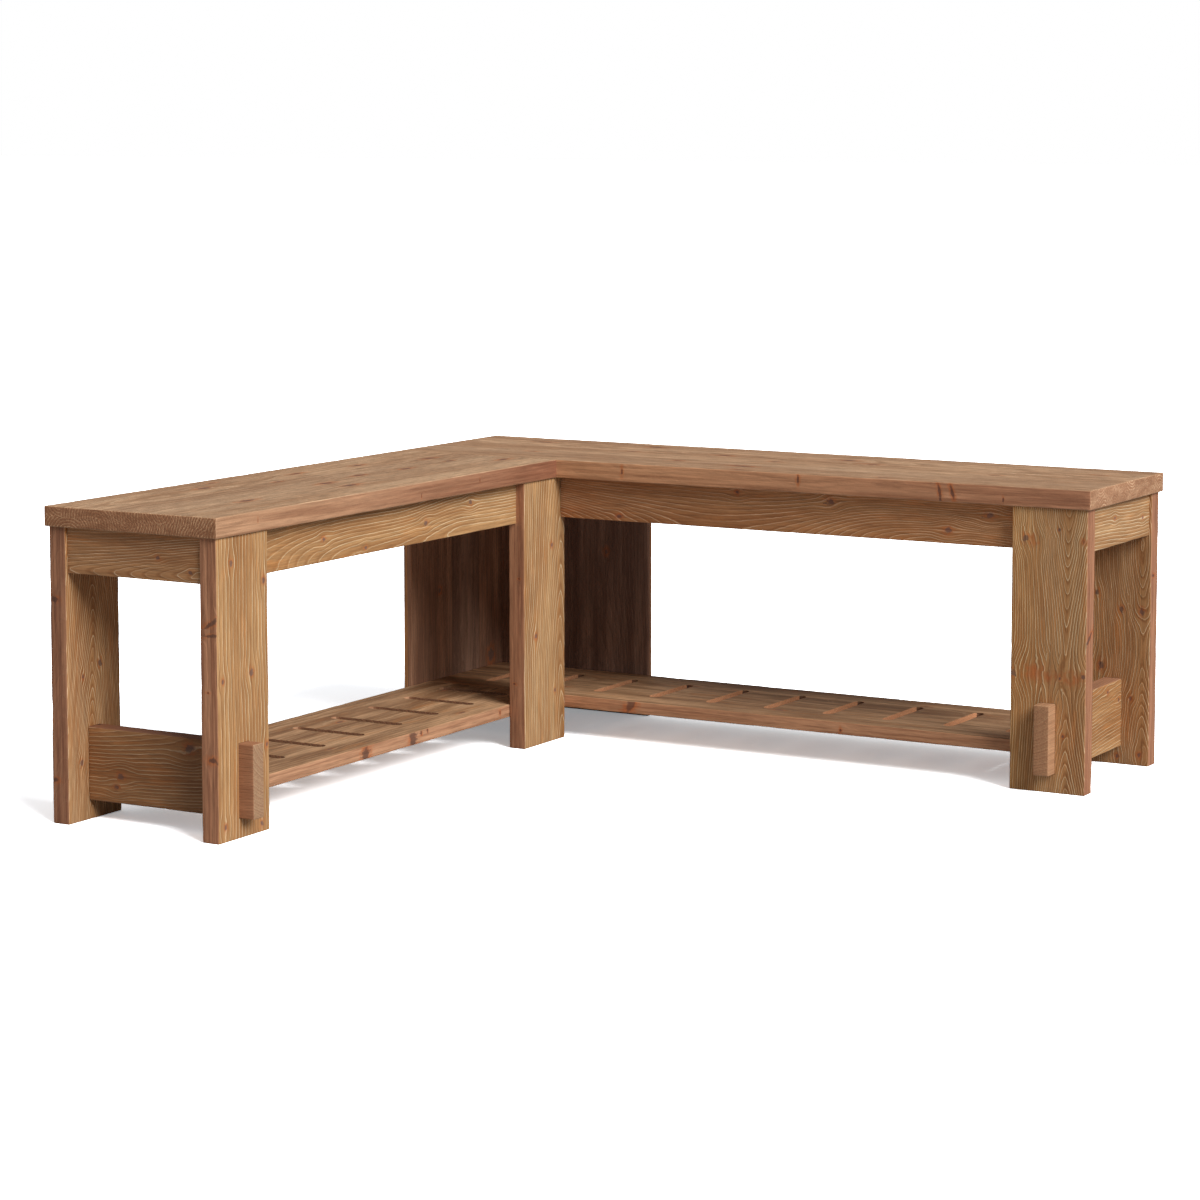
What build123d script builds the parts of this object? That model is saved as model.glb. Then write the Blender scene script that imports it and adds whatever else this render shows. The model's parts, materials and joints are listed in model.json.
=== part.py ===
from build123d import *
import os

# An L-shaped shoe bench in solid wood: two equal wings under one seat, on plank legs,
# with a slotted shoe shelf near the floor and through-tenoned rails at the wing ends.
# The pieces are set out from the outer back corner of the L, on the floor: the right wing
# runs along +X and the left wing along -Y. Each piece is then moved so that the origin is
# under the middle of the footprint's box.

# Driving dimensions of the seat, in millimetres
WING_LENGTH = 1219.0
WING_DEPTH = 302.5
SEAT_HEIGHT = 458.5
SEAT_THICKNESS = 29.5
SIDE_OVERHANG = 4.5
END_OVERHANG = 5.5

# Legs, corner panels and aprons
LEG_THICKNESS = 29.0
LEG_WIDTH = 121.0
INNER_LEG_WIDTH = 126.0
THIN_STOCK = 14.0
PANEL_REACH = 321.0
APRON_HEIGHT = 66.0
END_APRON_SETBACK = 4.5

# End stretchers and their through tenons
STRETCHER_HEIGHT = 106.5
STRETCHER_THICKNESS = 30.0
STRETCHER_FLOOR_GAP = 29.0
TENON_SHOULDER = 2.5
TENON_REACH = 25.0
TENON_CHAMFER = 2.0
TENON_FIT = 0.2

# Shelves and their slots
SHELF_THICKNESS = 20.0
SLOT_LENGTH = 130.0
SLOT_WIDTH = 18.0
SLOT_PITCH = 104.3
SLOT_MARGIN_RIGHT = 80.5
SLOT_MARGIN_LEFT = 92.0
SLOT_INNER_MARGIN = 35.0

# Battens that carry the shelf and hold the seat
CLEAT_THICKNESS = 20.0
CLEAT_HEIGHT = 21.0
CLEAT_END_GAP = 15.0

# Dowels and screws
FASTENER_SIDES = 10
DOWEL_DIAMETER = 8.0
DOWEL_LENGTH = 30.0
DOWEL_FIT = 0.1
DOWEL_EDGE = 17.0
BUTT_DOWEL_MARGIN = 40.0
BUTT_DOWEL_COUNT = 3
SCREW_DIAMETER = 4.0
SCREW_HEAD_DIAMETER = 8.0
SCREW_HEAD_HEIGHT = 2.5
SCREW_FIT = 0.1
SCREW_BITE = 10.0
SCREW_END_MARGIN = 40.0
SEAT_SCREW_COUNT = 3
SHELF_SCREW_COUNT = 2
PANEL_SCREW_BITE = 16.0
PANEL_SCREW_COUNT = 3
PANEL_SCREW_MARGIN = 70.0

# How far the edges of the boards are eased
EDGE_EASE = 1.5
SEAT_EASE = 2.0

RIGHT = "right"
LEFT = "left"

# Levels and planes that follow from the sizes above. Distances across a wing are from its
# back edge, and distances along it are from the outer corner.
UNDER_SEAT = SEAT_HEIGHT - SEAT_THICKNESS
APRON_BOTTOM = UNDER_SEAT - APRON_HEIGHT
BACK_OUTER = SIDE_OVERHANG
BACK_INNER = BACK_OUTER + LEG_THICKNESS
FRONT_OUTER = WING_DEPTH - SIDE_OVERHANG
FRONT_INNER = FRONT_OUTER - LEG_THICKNESS
LEG_END = WING_LENGTH - END_OVERHANG
LEG_START = LEG_END - LEG_WIDTH
INNER_LEG_END = FRONT_INNER + INNER_LEG_WIDTH
PANEL_OUTER = BACK_INNER - THIN_STOCK
APRON_OUTER = FRONT_INNER + THIN_STOCK
END_APRON_OUTER = LEG_END - END_APRON_SETBACK
END_APRON_INNER = END_APRON_OUTER - THIN_STOCK
STRETCHER_TOP = STRETCHER_FLOOR_GAP + STRETCHER_HEIGHT
STRETCHER_MIDDLE = (LEG_START + LEG_END) / 2
STRETCHER_INNER = STRETCHER_MIDDLE - STRETCHER_THICKNESS / 2
STRETCHER_OUTER = STRETCHER_MIDDLE + STRETCHER_THICKNESS / 2
SHELF_BOTTOM = STRETCHER_FLOOR_GAP + CLEAT_HEIGHT
SHELF_TOP = SHELF_BOTTOM + SHELF_THICKNESS
SHELF_MIDDLE = (BACK_INNER + FRONT_INNER) / 2
SEAT_CLEAT_BOTTOM = UNDER_SEAT - CLEAT_HEIGHT
SHELF_CLEAT_MIDDLE = SHELF_BOTTOM - CLEAT_HEIGHT / 2


def spot(wing, along, across, height=0.0):
    """A point, or a direction, given along and across a wing and up from the floor."""
    if wing == RIGHT:
        return Vector(along, -across, height)
    return Vector(across, -along, height)


def block(wing, along, across, rise):
    """A straight board between two distances along a wing, across it and up from the floor."""
    spans = (along, across) if wing == RIGHT else (across, along)
    lengths = [high - low for low, high in spans]
    board = Box(*lengths, rise[1] - rise[0], align=(Align.MIN, Align.MAX, Align.MIN))
    return Pos(spans[0][0], -spans[1][0], rise[0]) * board


def along_axis(wing):
    """The axis that a wing runs along."""
    return Axis.X if wing == RIGHT else Axis.Y


def across_axis(wing):
    """The axis that runs across a wing."""
    return Axis.Y if wing == RIGHT else Axis.X


def spread(first, last, count):
    """Evenly spaced distances, both ends included."""
    step = (last - first) / (count - 1)
    return [first + step * index for index in range(count)]


def rod(start, direction, diameter, length):
    """A many-sided rod from a point, in a direction, for the fasteners and their holes."""
    outline = RegularPolygon(diameter / 2, FASTENER_SIDES)
    return Plane(origin=start, z_dir=direction) * extrude(outline, length)


def drill(board, holes):
    """Takes the holes that a set of dowels or screws needs out of a board."""
    return board - holes


class Dowel:
    """A dowel half in each of two boards, placed by the face where they meet."""

    def __init__(self, middle, direction):
        self.start = middle - direction * (DOWEL_LENGTH / 2)
        self.direction = direction

    def hole(self):
        """The hole through both boards."""
        return rod(self.start, self.direction, DOWEL_DIAMETER + 2 * DOWEL_FIT, DOWEL_LENGTH)

    def solid(self):
        """The dowel itself."""
        return rod(self.start, self.direction, DOWEL_DIAMETER, DOWEL_LENGTH)


class Screw:
    """A flat-headed screw that goes through one board and bites into the next."""

    def __init__(self, under_head, direction, grip, bite):
        self.under_head = under_head
        self.direction = direction
        self.length = grip + bite

    def hole(self):
        """The hole that its shank runs in."""
        return rod(self.under_head, self.direction, SCREW_DIAMETER + 2 * SCREW_FIT, self.length)

    def solid(self):
        """The head and the shank."""
        head = rod(self.under_head, -self.direction, SCREW_HEAD_DIAMETER, SCREW_HEAD_HEIGHT)
        return head + rod(self.under_head, self.direction, SCREW_DIAMETER, self.length)


def holes_of(fasteners):
    """The holes of a set of dowels or screws."""
    return [fastener.hole() for fastener in fasteners]


def group_of(fasteners):
    """The solids of a set of dowels or screws, as one group."""
    return Compound(children=[fastener.solid() for fastener in fasteners])


def apron_dowels(wing):
    """The dowels at both ends of a wing's long aprons and of its end apron."""
    heights = (APRON_BOTTOM + DOWEL_EDGE, UNDER_SEAT - DOWEL_EDGE)
    thin_half = THIN_STOCK / 2
    inner_end = FRONT_OUTER if wing == RIGHT else INNER_LEG_END
    along = spot(wing, 1, 0)
    across = spot(wing, 0, 1)
    dowels = []
    for height in heights:
        for station in (inner_end, LEG_START):
            dowels.append(Dowel(spot(wing, station, FRONT_INNER + thin_half, height), along))
        for station in (PANEL_REACH, LEG_START):
            dowels.append(Dowel(spot(wing, station, BACK_INNER - thin_half, height), along))
        for edge in (BACK_INNER, FRONT_INNER):
            dowels.append(Dowel(spot(wing, END_APRON_INNER + thin_half, edge, height), across))
    return dowels


def butt_dowels(joint, height):
    """A row of dowels across the left wing, where its board butts the right wing's."""
    stations = spread(BACK_INNER + BUTT_DOWEL_MARGIN, FRONT_INNER - BUTT_DOWEL_MARGIN, BUTT_DOWEL_COUNT)
    return [Dowel(spot(LEFT, joint, across, height), spot(LEFT, 1, 0)) for across in stations]


def seat_joint_dowels():
    """The dowels in the butt joint of the seat boards."""
    return butt_dowels(WING_DEPTH, (UNDER_SEAT + SEAT_HEIGHT) / 2)


def shelf_joint_dowels():
    """The dowels in the butt joint of the shelves."""
    return butt_dowels(FRONT_INNER, (SHELF_BOTTOM + SHELF_TOP) / 2)


def seat_cleat_span(wing, front):
    """How far along its wing a seat batten runs, inside the front or the back apron."""
    inner_end = PANEL_REACH
    if front:
        inner_end = FRONT_OUTER if wing == RIGHT else INNER_LEG_END
    return (inner_end + CLEAT_END_GAP, LEG_START - CLEAT_END_GAP)


def seat_cleat_across(front):
    """Where across its wing a seat batten lies."""
    if front:
        return (FRONT_INNER - CLEAT_THICKNESS, FRONT_INNER)
    return (BACK_INNER, BACK_INNER + CLEAT_THICKNESS)


def seat_cleat_screws(wing, front):
    """The screws of one seat batten, up into the seat."""
    low, high = seat_cleat_span(wing, front)
    middle = sum(seat_cleat_across(front)) / 2
    stations = spread(low + SCREW_END_MARGIN, high - SCREW_END_MARGIN, SEAT_SCREW_COUNT)
    starts = [spot(wing, along, middle, SEAT_CLEAT_BOTTOM) for along in stations]
    return [Screw(start, Vector(0, 0, 1), CLEAT_HEIGHT, SCREW_BITE) for start in starts]


def end_cleat_screws(wing):
    """The screws of the shelf batten on a wing's stretcher."""
    low = BACK_INNER + SCREW_END_MARGIN
    high = FRONT_INNER - SCREW_END_MARGIN
    face = STRETCHER_INNER - CLEAT_THICKNESS
    stations = spread(low, high, SHELF_SCREW_COUNT)
    starts = [spot(wing, face, across, SHELF_CLEAT_MIDDLE) for across in stations]
    return [Screw(start, spot(wing, 1, 0), CLEAT_THICKNESS, SCREW_BITE) for start in starts]


def corner_cleat_span(wing):
    """How far along its wing the shelf batten on a corner panel runs."""
    start = BACK_INNER if wing == RIGHT else BACK_INNER + CLEAT_THICKNESS
    return (start, PANEL_REACH - CLEAT_END_GAP)


def corner_cleat_screws(wing):
    """The screws of the shelf batten on a wing's corner panel."""
    low, high = corner_cleat_span(wing)
    face = BACK_INNER + CLEAT_THICKNESS
    stations = spread(low + SCREW_END_MARGIN, high - SCREW_END_MARGIN, SHELF_SCREW_COUNT)
    starts = [spot(wing, along, face, SHELF_CLEAT_MIDDLE) for along in stations]
    return [Screw(start, spot(wing, 0, -1), CLEAT_THICKNESS, SCREW_BITE) for start in starts]


def corner_panel_screws():
    """The screws through the right corner panel into the edge of the left one."""
    middle = BACK_INNER - THIN_STOCK / 2
    heights = spread(PANEL_SCREW_MARGIN, UNDER_SEAT - PANEL_SCREW_MARGIN, PANEL_SCREW_COUNT)
    starts = [spot(RIGHT, middle, PANEL_OUTER, height) for height in heights]
    return [Screw(start, spot(RIGHT, 0, 1), THIN_STOCK, PANEL_SCREW_BITE) for start in starts]


def all_seat_screws(wing):
    """The screws of both seat battens of a wing."""
    return seat_cleat_screws(wing, True) + seat_cleat_screws(wing, False)


def corner_boards(back, front, end, rise, ease):
    """The right and the left board of an L, eased all round as one and parted at their butt joint."""
    right = block(RIGHT, (back, end), (back, front), rise)
    left = block(LEFT, (front, end), (back, front), rise)
    slab = (right + left).clean()
    faces = slab.faces().sort_by(Axis.Z)
    slab = fillet(faces[0].edges() + faces[-1].edges(), ease)
    return {RIGHT: slab & right, LEFT: slab & left}


def seat_boards():
    """The seat boards of both wings: the right one runs through the corner."""
    boards = corner_boards(0, WING_DEPTH, WING_LENGTH, (UNDER_SEAT, SEAT_HEIGHT), SEAT_EASE)
    holes = holes_of(all_seat_screws(RIGHT) + all_seat_screws(LEFT) + seat_joint_dowels())
    return {f"seat_{wing}": drill(board, holes) for wing, board in boards.items()}


def tenon_block(wing, across, fit=0.0):
    """The tenon of a wing's stretcher between two distances across, or its mortise."""
    inset = TENON_SHOULDER - fit
    along = (STRETCHER_INNER + inset, STRETCHER_OUTER - inset)
    return block(wing, along, across, (STRETCHER_FLOOR_GAP - fit, STRETCHER_TOP + fit))


def eased_leg(leg):
    """A plank leg with its upright edges eased."""
    return fillet(leg.edges().filter_by(Axis.Z), EDGE_EASE)


def end_leg(wing, across):
    """A plank leg at a wing's end, with the mortise of the stretcher and the apron's holes."""
    leg = eased_leg(block(wing, (LEG_START, LEG_END), across, (0, UNDER_SEAT)))
    return drill(leg - tenon_block(wing, across, TENON_FIT), holes_of(apron_dowels(wing)))


def inner_corner_leg():
    """The plank leg at the inside corner, which takes the inner ends of both front aprons."""
    leg = block(LEFT, (FRONT_INNER, INNER_LEG_END), (FRONT_INNER, FRONT_OUTER), (0, UNDER_SEAT))
    return drill(eased_leg(leg), holes_of(apron_dowels(LEFT) + apron_dowels(RIGHT)))


def corner_panel(wing):
    """An upright board that closes the back corner: the left one butts the right one."""
    start = PANEL_OUTER if wing == RIGHT else BACK_INNER
    panel = block(wing, (start, PANEL_REACH), (PANEL_OUTER, BACK_INNER), (0, UNDER_SEAT))
    screws = corner_panel_screws() + corner_cleat_screws(wing)
    return drill(panel, holes_of(screws + apron_dowels(wing)))


def long_apron(wing, front):
    """A long apron, between the end leg and the inner leg or the corner panel."""
    if front:
        start = FRONT_OUTER if wing == RIGHT else INNER_LEG_END
        across = (FRONT_INNER, APRON_OUTER)
    else:
        start = PANEL_REACH
        across = (PANEL_OUTER, BACK_INNER)
    apron = block(wing, (start, LEG_START), across, (APRON_BOTTOM, UNDER_SEAT))
    low_edges = apron.edges().filter_by(along_axis(wing)).group_by(Axis.Z)[0]
    return drill(fillet(low_edges, EDGE_EASE), holes_of(apron_dowels(wing)))


def end_apron(wing):
    """The short apron between the two end legs of a wing."""
    span = (END_APRON_INNER, END_APRON_OUTER)
    apron = block(wing, span, (BACK_INNER, FRONT_INNER), (APRON_BOTTOM, UNDER_SEAT))
    low_edges = apron.edges().filter_by(across_axis(wing)).group_by(Axis.Z)[0]
    return drill(fillet(low_edges, EDGE_EASE), holes_of(apron_dowels(wing)))


def stretcher(wing):
    """An end rail: its tenon runs through the back leg, and stands proud of the front one."""
    span = (STRETCHER_INNER, STRETCHER_OUTER)
    rise = (STRETCHER_FLOOR_GAP, STRETCHER_TOP)
    rail = block(wing, span, (BACK_INNER, FRONT_INNER), rise)
    rail = fillet(rail.edges().filter_by(across_axis(wing)), EDGE_EASE)
    front = tenon_block(wing, (FRONT_INNER, FRONT_OUTER + TENON_REACH))
    ends = front.faces().filter_by(across_axis(wing)).sort_by(across_axis(wing))
    tip = ends[0] if wing == RIGHT else ends[-1]
    front = chamfer(tip.edges(), TENON_CHAMFER)
    back = tenon_block(wing, (BACK_OUTER, BACK_INNER))
    return drill(rail + front + back, holes_of(end_cleat_screws(wing)))


def slot_stations(start, margin):
    """Where the slots lie along a shelf, set out from its stretcher inwards."""
    stations = []
    station = STRETCHER_INNER - margin
    while station >= start + SLOT_INNER_MARGIN:
        stations.append(station)
        station -= SLOT_PITCH
    return stations


def slot_cutter(wing, station):
    """One round-ended slot across a shelf."""
    turn = 90 if wing == RIGHT else 0
    middle = spot(wing, station, SHELF_MIDDLE, SHELF_BOTTOM)
    outline = Pos(middle) * Rot(0, 0, turn) * SlotOverall(SLOT_LENGTH, SLOT_WIDTH)
    return extrude(outline, SHELF_THICKNESS)


def shelf_slots(wing):
    """The slots of a wing's shelf."""
    if wing == RIGHT:
        stations = slot_stations(BACK_INNER, SLOT_MARGIN_RIGHT)
    else:
        stations = slot_stations(FRONT_INNER, SLOT_MARGIN_LEFT)
    return [slot_cutter(wing, station) for station in stations]


def shelf_boards():
    """The slotted shelves of both wings: the right one runs into the corner."""
    rise = (SHELF_BOTTOM, SHELF_TOP)
    boards = corner_boards(BACK_INNER, FRONT_INNER, STRETCHER_INNER, rise, EDGE_EASE)
    holes = holes_of(shelf_joint_dowels())
    return {f"shelf_{wing}": drill(board, holes + shelf_slots(wing)) for wing, board in boards.items()}


def seat_cleat(wing, front):
    """A batten inside a long apron, which the seat is screwed to."""
    span = seat_cleat_span(wing, front)
    batten = block(wing, span, seat_cleat_across(front), (SEAT_CLEAT_BOTTOM, UNDER_SEAT))
    return drill(batten, holes_of(seat_cleat_screws(wing, front)))


def shelf_end_cleat(wing):
    """A batten on a stretcher's inner face, under the end of the shelf."""
    span = (STRETCHER_INNER - CLEAT_THICKNESS, STRETCHER_INNER)
    across = (BACK_INNER + CLEAT_END_GAP, FRONT_INNER - CLEAT_END_GAP)
    batten = block(wing, span, across, (STRETCHER_FLOOR_GAP, SHELF_BOTTOM))
    return drill(batten, holes_of(end_cleat_screws(wing)))


def shelf_corner_cleat(wing):
    """A batten on a corner panel's inner face, under the back edge of the shelf."""
    across = (BACK_INNER, BACK_INNER + CLEAT_THICKNESS)
    batten = block(wing, corner_cleat_span(wing), across, (STRETCHER_FLOOR_GAP, SHELF_BOTTOM))
    return drill(batten, holes_of(corner_cleat_screws(wing)))


def wing_pieces(wing):
    """The pieces of one wing, apart from its seat board and its shelf, by name."""
    pieces = {
        f"leg_{wing}_front": end_leg(wing, (FRONT_INNER, FRONT_OUTER)),
        f"leg_{wing}_back": end_leg(wing, (BACK_OUTER, BACK_INNER)),
        f"corner_panel_{wing}": corner_panel(wing),
        f"apron_{wing}_end": end_apron(wing),
        f"stretcher_{wing}": stretcher(wing),
        f"shelf_cleat_{wing}_end": shelf_end_cleat(wing),
        f"shelf_cleat_corner_{wing}": shelf_corner_cleat(wing),
    }
    for place, front in (("front", True), ("back", False)):
        pieces[f"apron_{wing}_{place}"] = long_apron(wing, front)
        pieces[f"seat_cleat_{wing}_{place}"] = seat_cleat(wing, front)
    return pieces


def fastener_groups():
    """The dowels and the screws, one group for each job."""
    shelf_screws = []
    for wing in (RIGHT, LEFT):
        shelf_screws += end_cleat_screws(wing) + corner_cleat_screws(wing)
    return {
        "apron_dowels": group_of(apron_dowels(RIGHT) + apron_dowels(LEFT)),
        "seat_joint_dowels": group_of(seat_joint_dowels()),
        "shelf_joint_dowels": group_of(shelf_joint_dowels()),
        "seat_cleat_screws": group_of(all_seat_screws(RIGHT) + all_seat_screws(LEFT)),
        "shelf_cleat_screws": group_of(shelf_screws),
        "corner_panel_screws": group_of(corner_panel_screws()),
    }


def bench():
    """Every piece of the bench, by name, set out from the outer back corner."""
    pieces = {**seat_boards(), **shelf_boards(), "leg_inner_corner": inner_corner_leg()}
    for wing in (RIGHT, LEFT):
        pieces.update(wing_pieces(wing))
    pieces.update(fastener_groups())
    return pieces


os.makedirs("parts", exist_ok=True)
to_middle = Pos(-WING_LENGTH / 2, WING_LENGTH / 2, 0)
for name, piece in bench().items():
    export_step(to_middle * piece, f"parts/{name}.step")
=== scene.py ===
import json
import logging
import math
import random
from dataclasses import dataclass, field
from enum import Enum
from typing import Any, Dict, List, Optional, Tuple

import bmesh
import bpy
import numpy as np
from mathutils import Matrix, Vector


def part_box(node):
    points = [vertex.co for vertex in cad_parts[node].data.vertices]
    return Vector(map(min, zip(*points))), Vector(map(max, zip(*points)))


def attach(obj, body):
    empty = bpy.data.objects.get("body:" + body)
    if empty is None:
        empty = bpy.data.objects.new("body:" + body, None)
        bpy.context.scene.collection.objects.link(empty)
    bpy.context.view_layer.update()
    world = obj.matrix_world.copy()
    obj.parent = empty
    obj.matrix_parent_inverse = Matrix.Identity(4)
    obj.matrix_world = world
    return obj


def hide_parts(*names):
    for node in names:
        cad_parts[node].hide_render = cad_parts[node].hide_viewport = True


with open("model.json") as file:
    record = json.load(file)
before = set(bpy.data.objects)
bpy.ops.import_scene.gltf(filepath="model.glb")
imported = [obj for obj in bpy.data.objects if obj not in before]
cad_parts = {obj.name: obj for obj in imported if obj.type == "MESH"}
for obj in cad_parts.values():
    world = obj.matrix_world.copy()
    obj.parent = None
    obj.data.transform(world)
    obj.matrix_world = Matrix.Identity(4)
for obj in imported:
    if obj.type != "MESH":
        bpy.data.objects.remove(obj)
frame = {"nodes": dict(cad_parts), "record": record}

log = logging.getLogger("corner_bench")

Colour = Tuple[float, float, float]
Fade = Tuple[Colour, Colour]
Point = Tuple[float, float, float]
Finishes = Dict[str, bpy.types.Material]

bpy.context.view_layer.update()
BODY = "root"
MM = 0.001

# No change of shade, and none from one end of a board to the other
PLAIN: Colour = (1.0, 1.0, 1.0)
EVEN: Fade = (PLAIN, PLAIN)

# The tenons' setback from the stretchers' sides, and how far a cutter goes past a board, both ends together
TENON_SHOULDER = 2.5 * MM
OVERCUT = 10.0 * MM


class Cut(Enum):
    """How a face of a board lies to its grain."""

    WIDE = 0.0
    EDGE = 1.0
    END = 2.0


class Side(Enum):
    """The low or the high side of a board along one of its axes."""

    LOW = -1
    HIGH = 1


class Wing(Enum):
    """The two wings of the bench."""

    RIGHT = "right"
    LEFT = "left"


class Flow:
    """A node's output socket that joins in Python arithmetic, one Math node for each operator."""

    def __init__(self, book: "ShaderBook", socket: bpy.types.NodeSocket) -> None:
        """Holds the socket and the book whose nodes it joins."""
        self.book = book
        self.socket = socket

    def _math(self, operation: str, *terms: Any) -> "Flow":
        """Adds one Math node.

        Args:
            operation: the Math node's operation.
            terms: numbers or flows, in the order of its sockets.

        Returns:
            The node's value.
        """
        return self.book.add("ShaderNodeMath", {"operation": operation}, terms)

    def __add__(self, other: Any) -> "Flow":
        """Sum of two values."""
        return self._math("ADD", self, other)

    __radd__ = __add__

    def __sub__(self, other: Any) -> "Flow":
        """This value less another."""
        return self._math("SUBTRACT", self, other)

    def __rsub__(self, other: Any) -> "Flow":
        """Another value less this one."""
        return self._math("SUBTRACT", other, self)

    def __mul__(self, other: Any) -> "Flow":
        """Product of two values."""
        return self._math("MULTIPLY", self, other)

    __rmul__ = __mul__

    def __truediv__(self, other: Any) -> "Flow":
        """This value over another."""
        return self._math("DIVIDE", self, other)

    def __rtruediv__(self, other: Any) -> "Flow":
        """Another value over this one."""
        return self._math("DIVIDE", other, self)

    def __gt__(self, other: Any) -> "Flow":
        """One where this value is the greater, and nought elsewhere."""
        return self._math("GREATER_THAN", self, other)

    def apply(self, operation: str) -> "Flow":
        """A Math operation of one value, such as FRACT, FLOOR, ABSOLUTE or SQRT."""
        return self._math(operation, self)

    def swing(self, size: Any) -> "Flow":
        """Noise moved to swing about nought, by half a size each way."""
        return (self - 0.5) * size

    def ease(self, low: float, high: float) -> "Flow":
        """A smooth step.

        Args:
            low: where the step is nought.
            high: where the step is one; below low, the step falls.

        Returns:
            The step, from nought to one.
        """
        settings = {"interpolation_type": "SMOOTHSTEP", "clamp": True}
        if low < high:
            return self.book.add("ShaderNodeMapRange", settings, [self, low, high, 0.0, 1.0])
        return self.book.add("ShaderNodeMapRange", settings, [self, high, low, 1.0, 0.0])


class ShaderBook:
    """Builds the nodes of one material, or of the world."""

    def __init__(self, owner: Any) -> None:
        """Starts with no nodes.

        Args:
            owner: the material or the world.
        """
        self.owner = owner
        self.owner.use_nodes = True
        self.tree = self.owner.node_tree
        self.tree.nodes.clear()

    def add(self, kind: str, settings: Dict[str, Any], inputs: Any = (), output: Any = 0) -> Flow:
        """Adds a node.

        Args:
            kind: the node's type.
            settings: its properties, which are set first.
            inputs: values or flows, in socket order or by socket name.
            output: the output socket's number or name.

        Returns:
            The output socket.
        """
        node = self.tree.nodes.new(kind)
        for key, value in settings.items():
            setattr(node, key, value)
        pairs = inputs.items() if isinstance(inputs, dict) else enumerate(inputs)
        for key, value in pairs:
            if isinstance(value, Flow):
                self.tree.links.new(value.socket, node.inputs[key])
            else:
                node.inputs[key].default_value = value
        return Flow(self, node.outputs[output])

    def attribute(self, name: str, output: str = "Vector") -> Flow:
        """A mesh attribute of the piece."""
        return self.add("ShaderNodeAttribute", {"attribute_name": name}, output=output)

    def parts(self, vector: Flow) -> Tuple[Flow, Flow, Flow]:
        """The three numbers of a vector.

        Args:
            vector: the vector.

        Returns:
            One flow for each number.
        """
        first = self.add("ShaderNodeSeparateXYZ", {}, [vector])
        outputs = first.socket.node.outputs
        return first, Flow(self, outputs[1]), Flow(self, outputs[2])

    def vector(self, x: Any, y: Any, z: Any) -> Flow:
        """A vector of three numbers."""
        return self.add("ShaderNodeCombineXYZ", {}, [x, y, z])

    def noise(self, place: Flow, detail: float = 2.0, roughness: float = 0.5, output: str = "Fac") -> Flow:
        """Perlin noise at a place given in noise cells.

        Args:
            place: where, in cells.
            detail: how many octaves.
            roughness: how strong the finer octaves are.
            output: "Fac" for a number, "Color" for three.

        Returns:
            The noise, from nought to one.
        """
        inputs = {"Vector": place, "Scale": 1.0, "Detail": detail, "Roughness": roughness}
        return self.add("ShaderNodeTexNoise", {"noise_dimensions": "3D"}, inputs, output)

    def draw(self, seed: Flow, output: str) -> Flow:
        """White noise of a seed: "Value" is a number from nought to one, and "Color" is three."""
        return self.add("ShaderNodeTexWhiteNoise", {"noise_dimensions": "3D"}, [seed], output)

    def speckle(self, cells: float, detail: float, roughness: float = 0.5) -> Flow:
        """Fine noise over a piece without grain.

        Args:
            cells: how many noise cells there are to a metre.
            detail: how many octaves.
            roughness: how strong the finer octaves are.

        Returns:
            The noise, from nought to one.
        """
        place = self.add("ShaderNodeTexCoord", {}, output="Object")
        scaled = self.add("ShaderNodeMapping", {}, {"Vector": place, "Scale": (cells, cells, cells)})
        return self.noise(scaled, detail, roughness)

    def mix(self, factor: Any, first: Any, second: Any, blend: str = "MIX") -> Flow:
        """A mix of two colours.

        Args:
            factor: how much of the second.
            first: a colour, or a flow of colours.
            second: a colour, or a flow of colours.
            blend: the way of blending.

        Returns:
            The mixed colour.
        """
        settings = {"data_type": "RGBA", "blend_type": blend, "clamp_factor": True}
        ends = [(*c, 1.0) if isinstance(c, tuple) else c for c in (first, second)]
        return self.add("ShaderNodeMix", settings, {0: factor, 6: ends[0], 7: ends[1]}, 2)

    def shade(self, colour: Flow, roughness: Flow, height: Flow, depth: float, **sockets: float) -> None:
        """Ends the material in a Principled shader.

        Args:
            colour: its base colour.
            roughness: its roughness.
            height: the height that its normal follows, from nought to one.
            depth: the height's full depth in metres.
            sockets: constants of other sockets, by name with _ for a space.
        """
        bump = self.add("ShaderNodeBump", {}, {"Strength": 1.0, "Distance": depth, "Height": height})
        inputs: Dict[str, Any] = {"Base Color": colour, "Roughness": roughness, "Normal": bump}
        for key, value in sockets.items():
            inputs[key.replace("_", " ")] = value
        self.close(self.add("ShaderNodeBsdfPrincipled", {}, inputs))

    def close(self, surface: Flow, kind: str = "ShaderNodeOutputMaterial") -> None:
        """Links a shader to the output node."""
        node = self.tree.nodes.new(kind)
        self.tree.links.new(surface.socket, node.inputs["Surface"])


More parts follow.
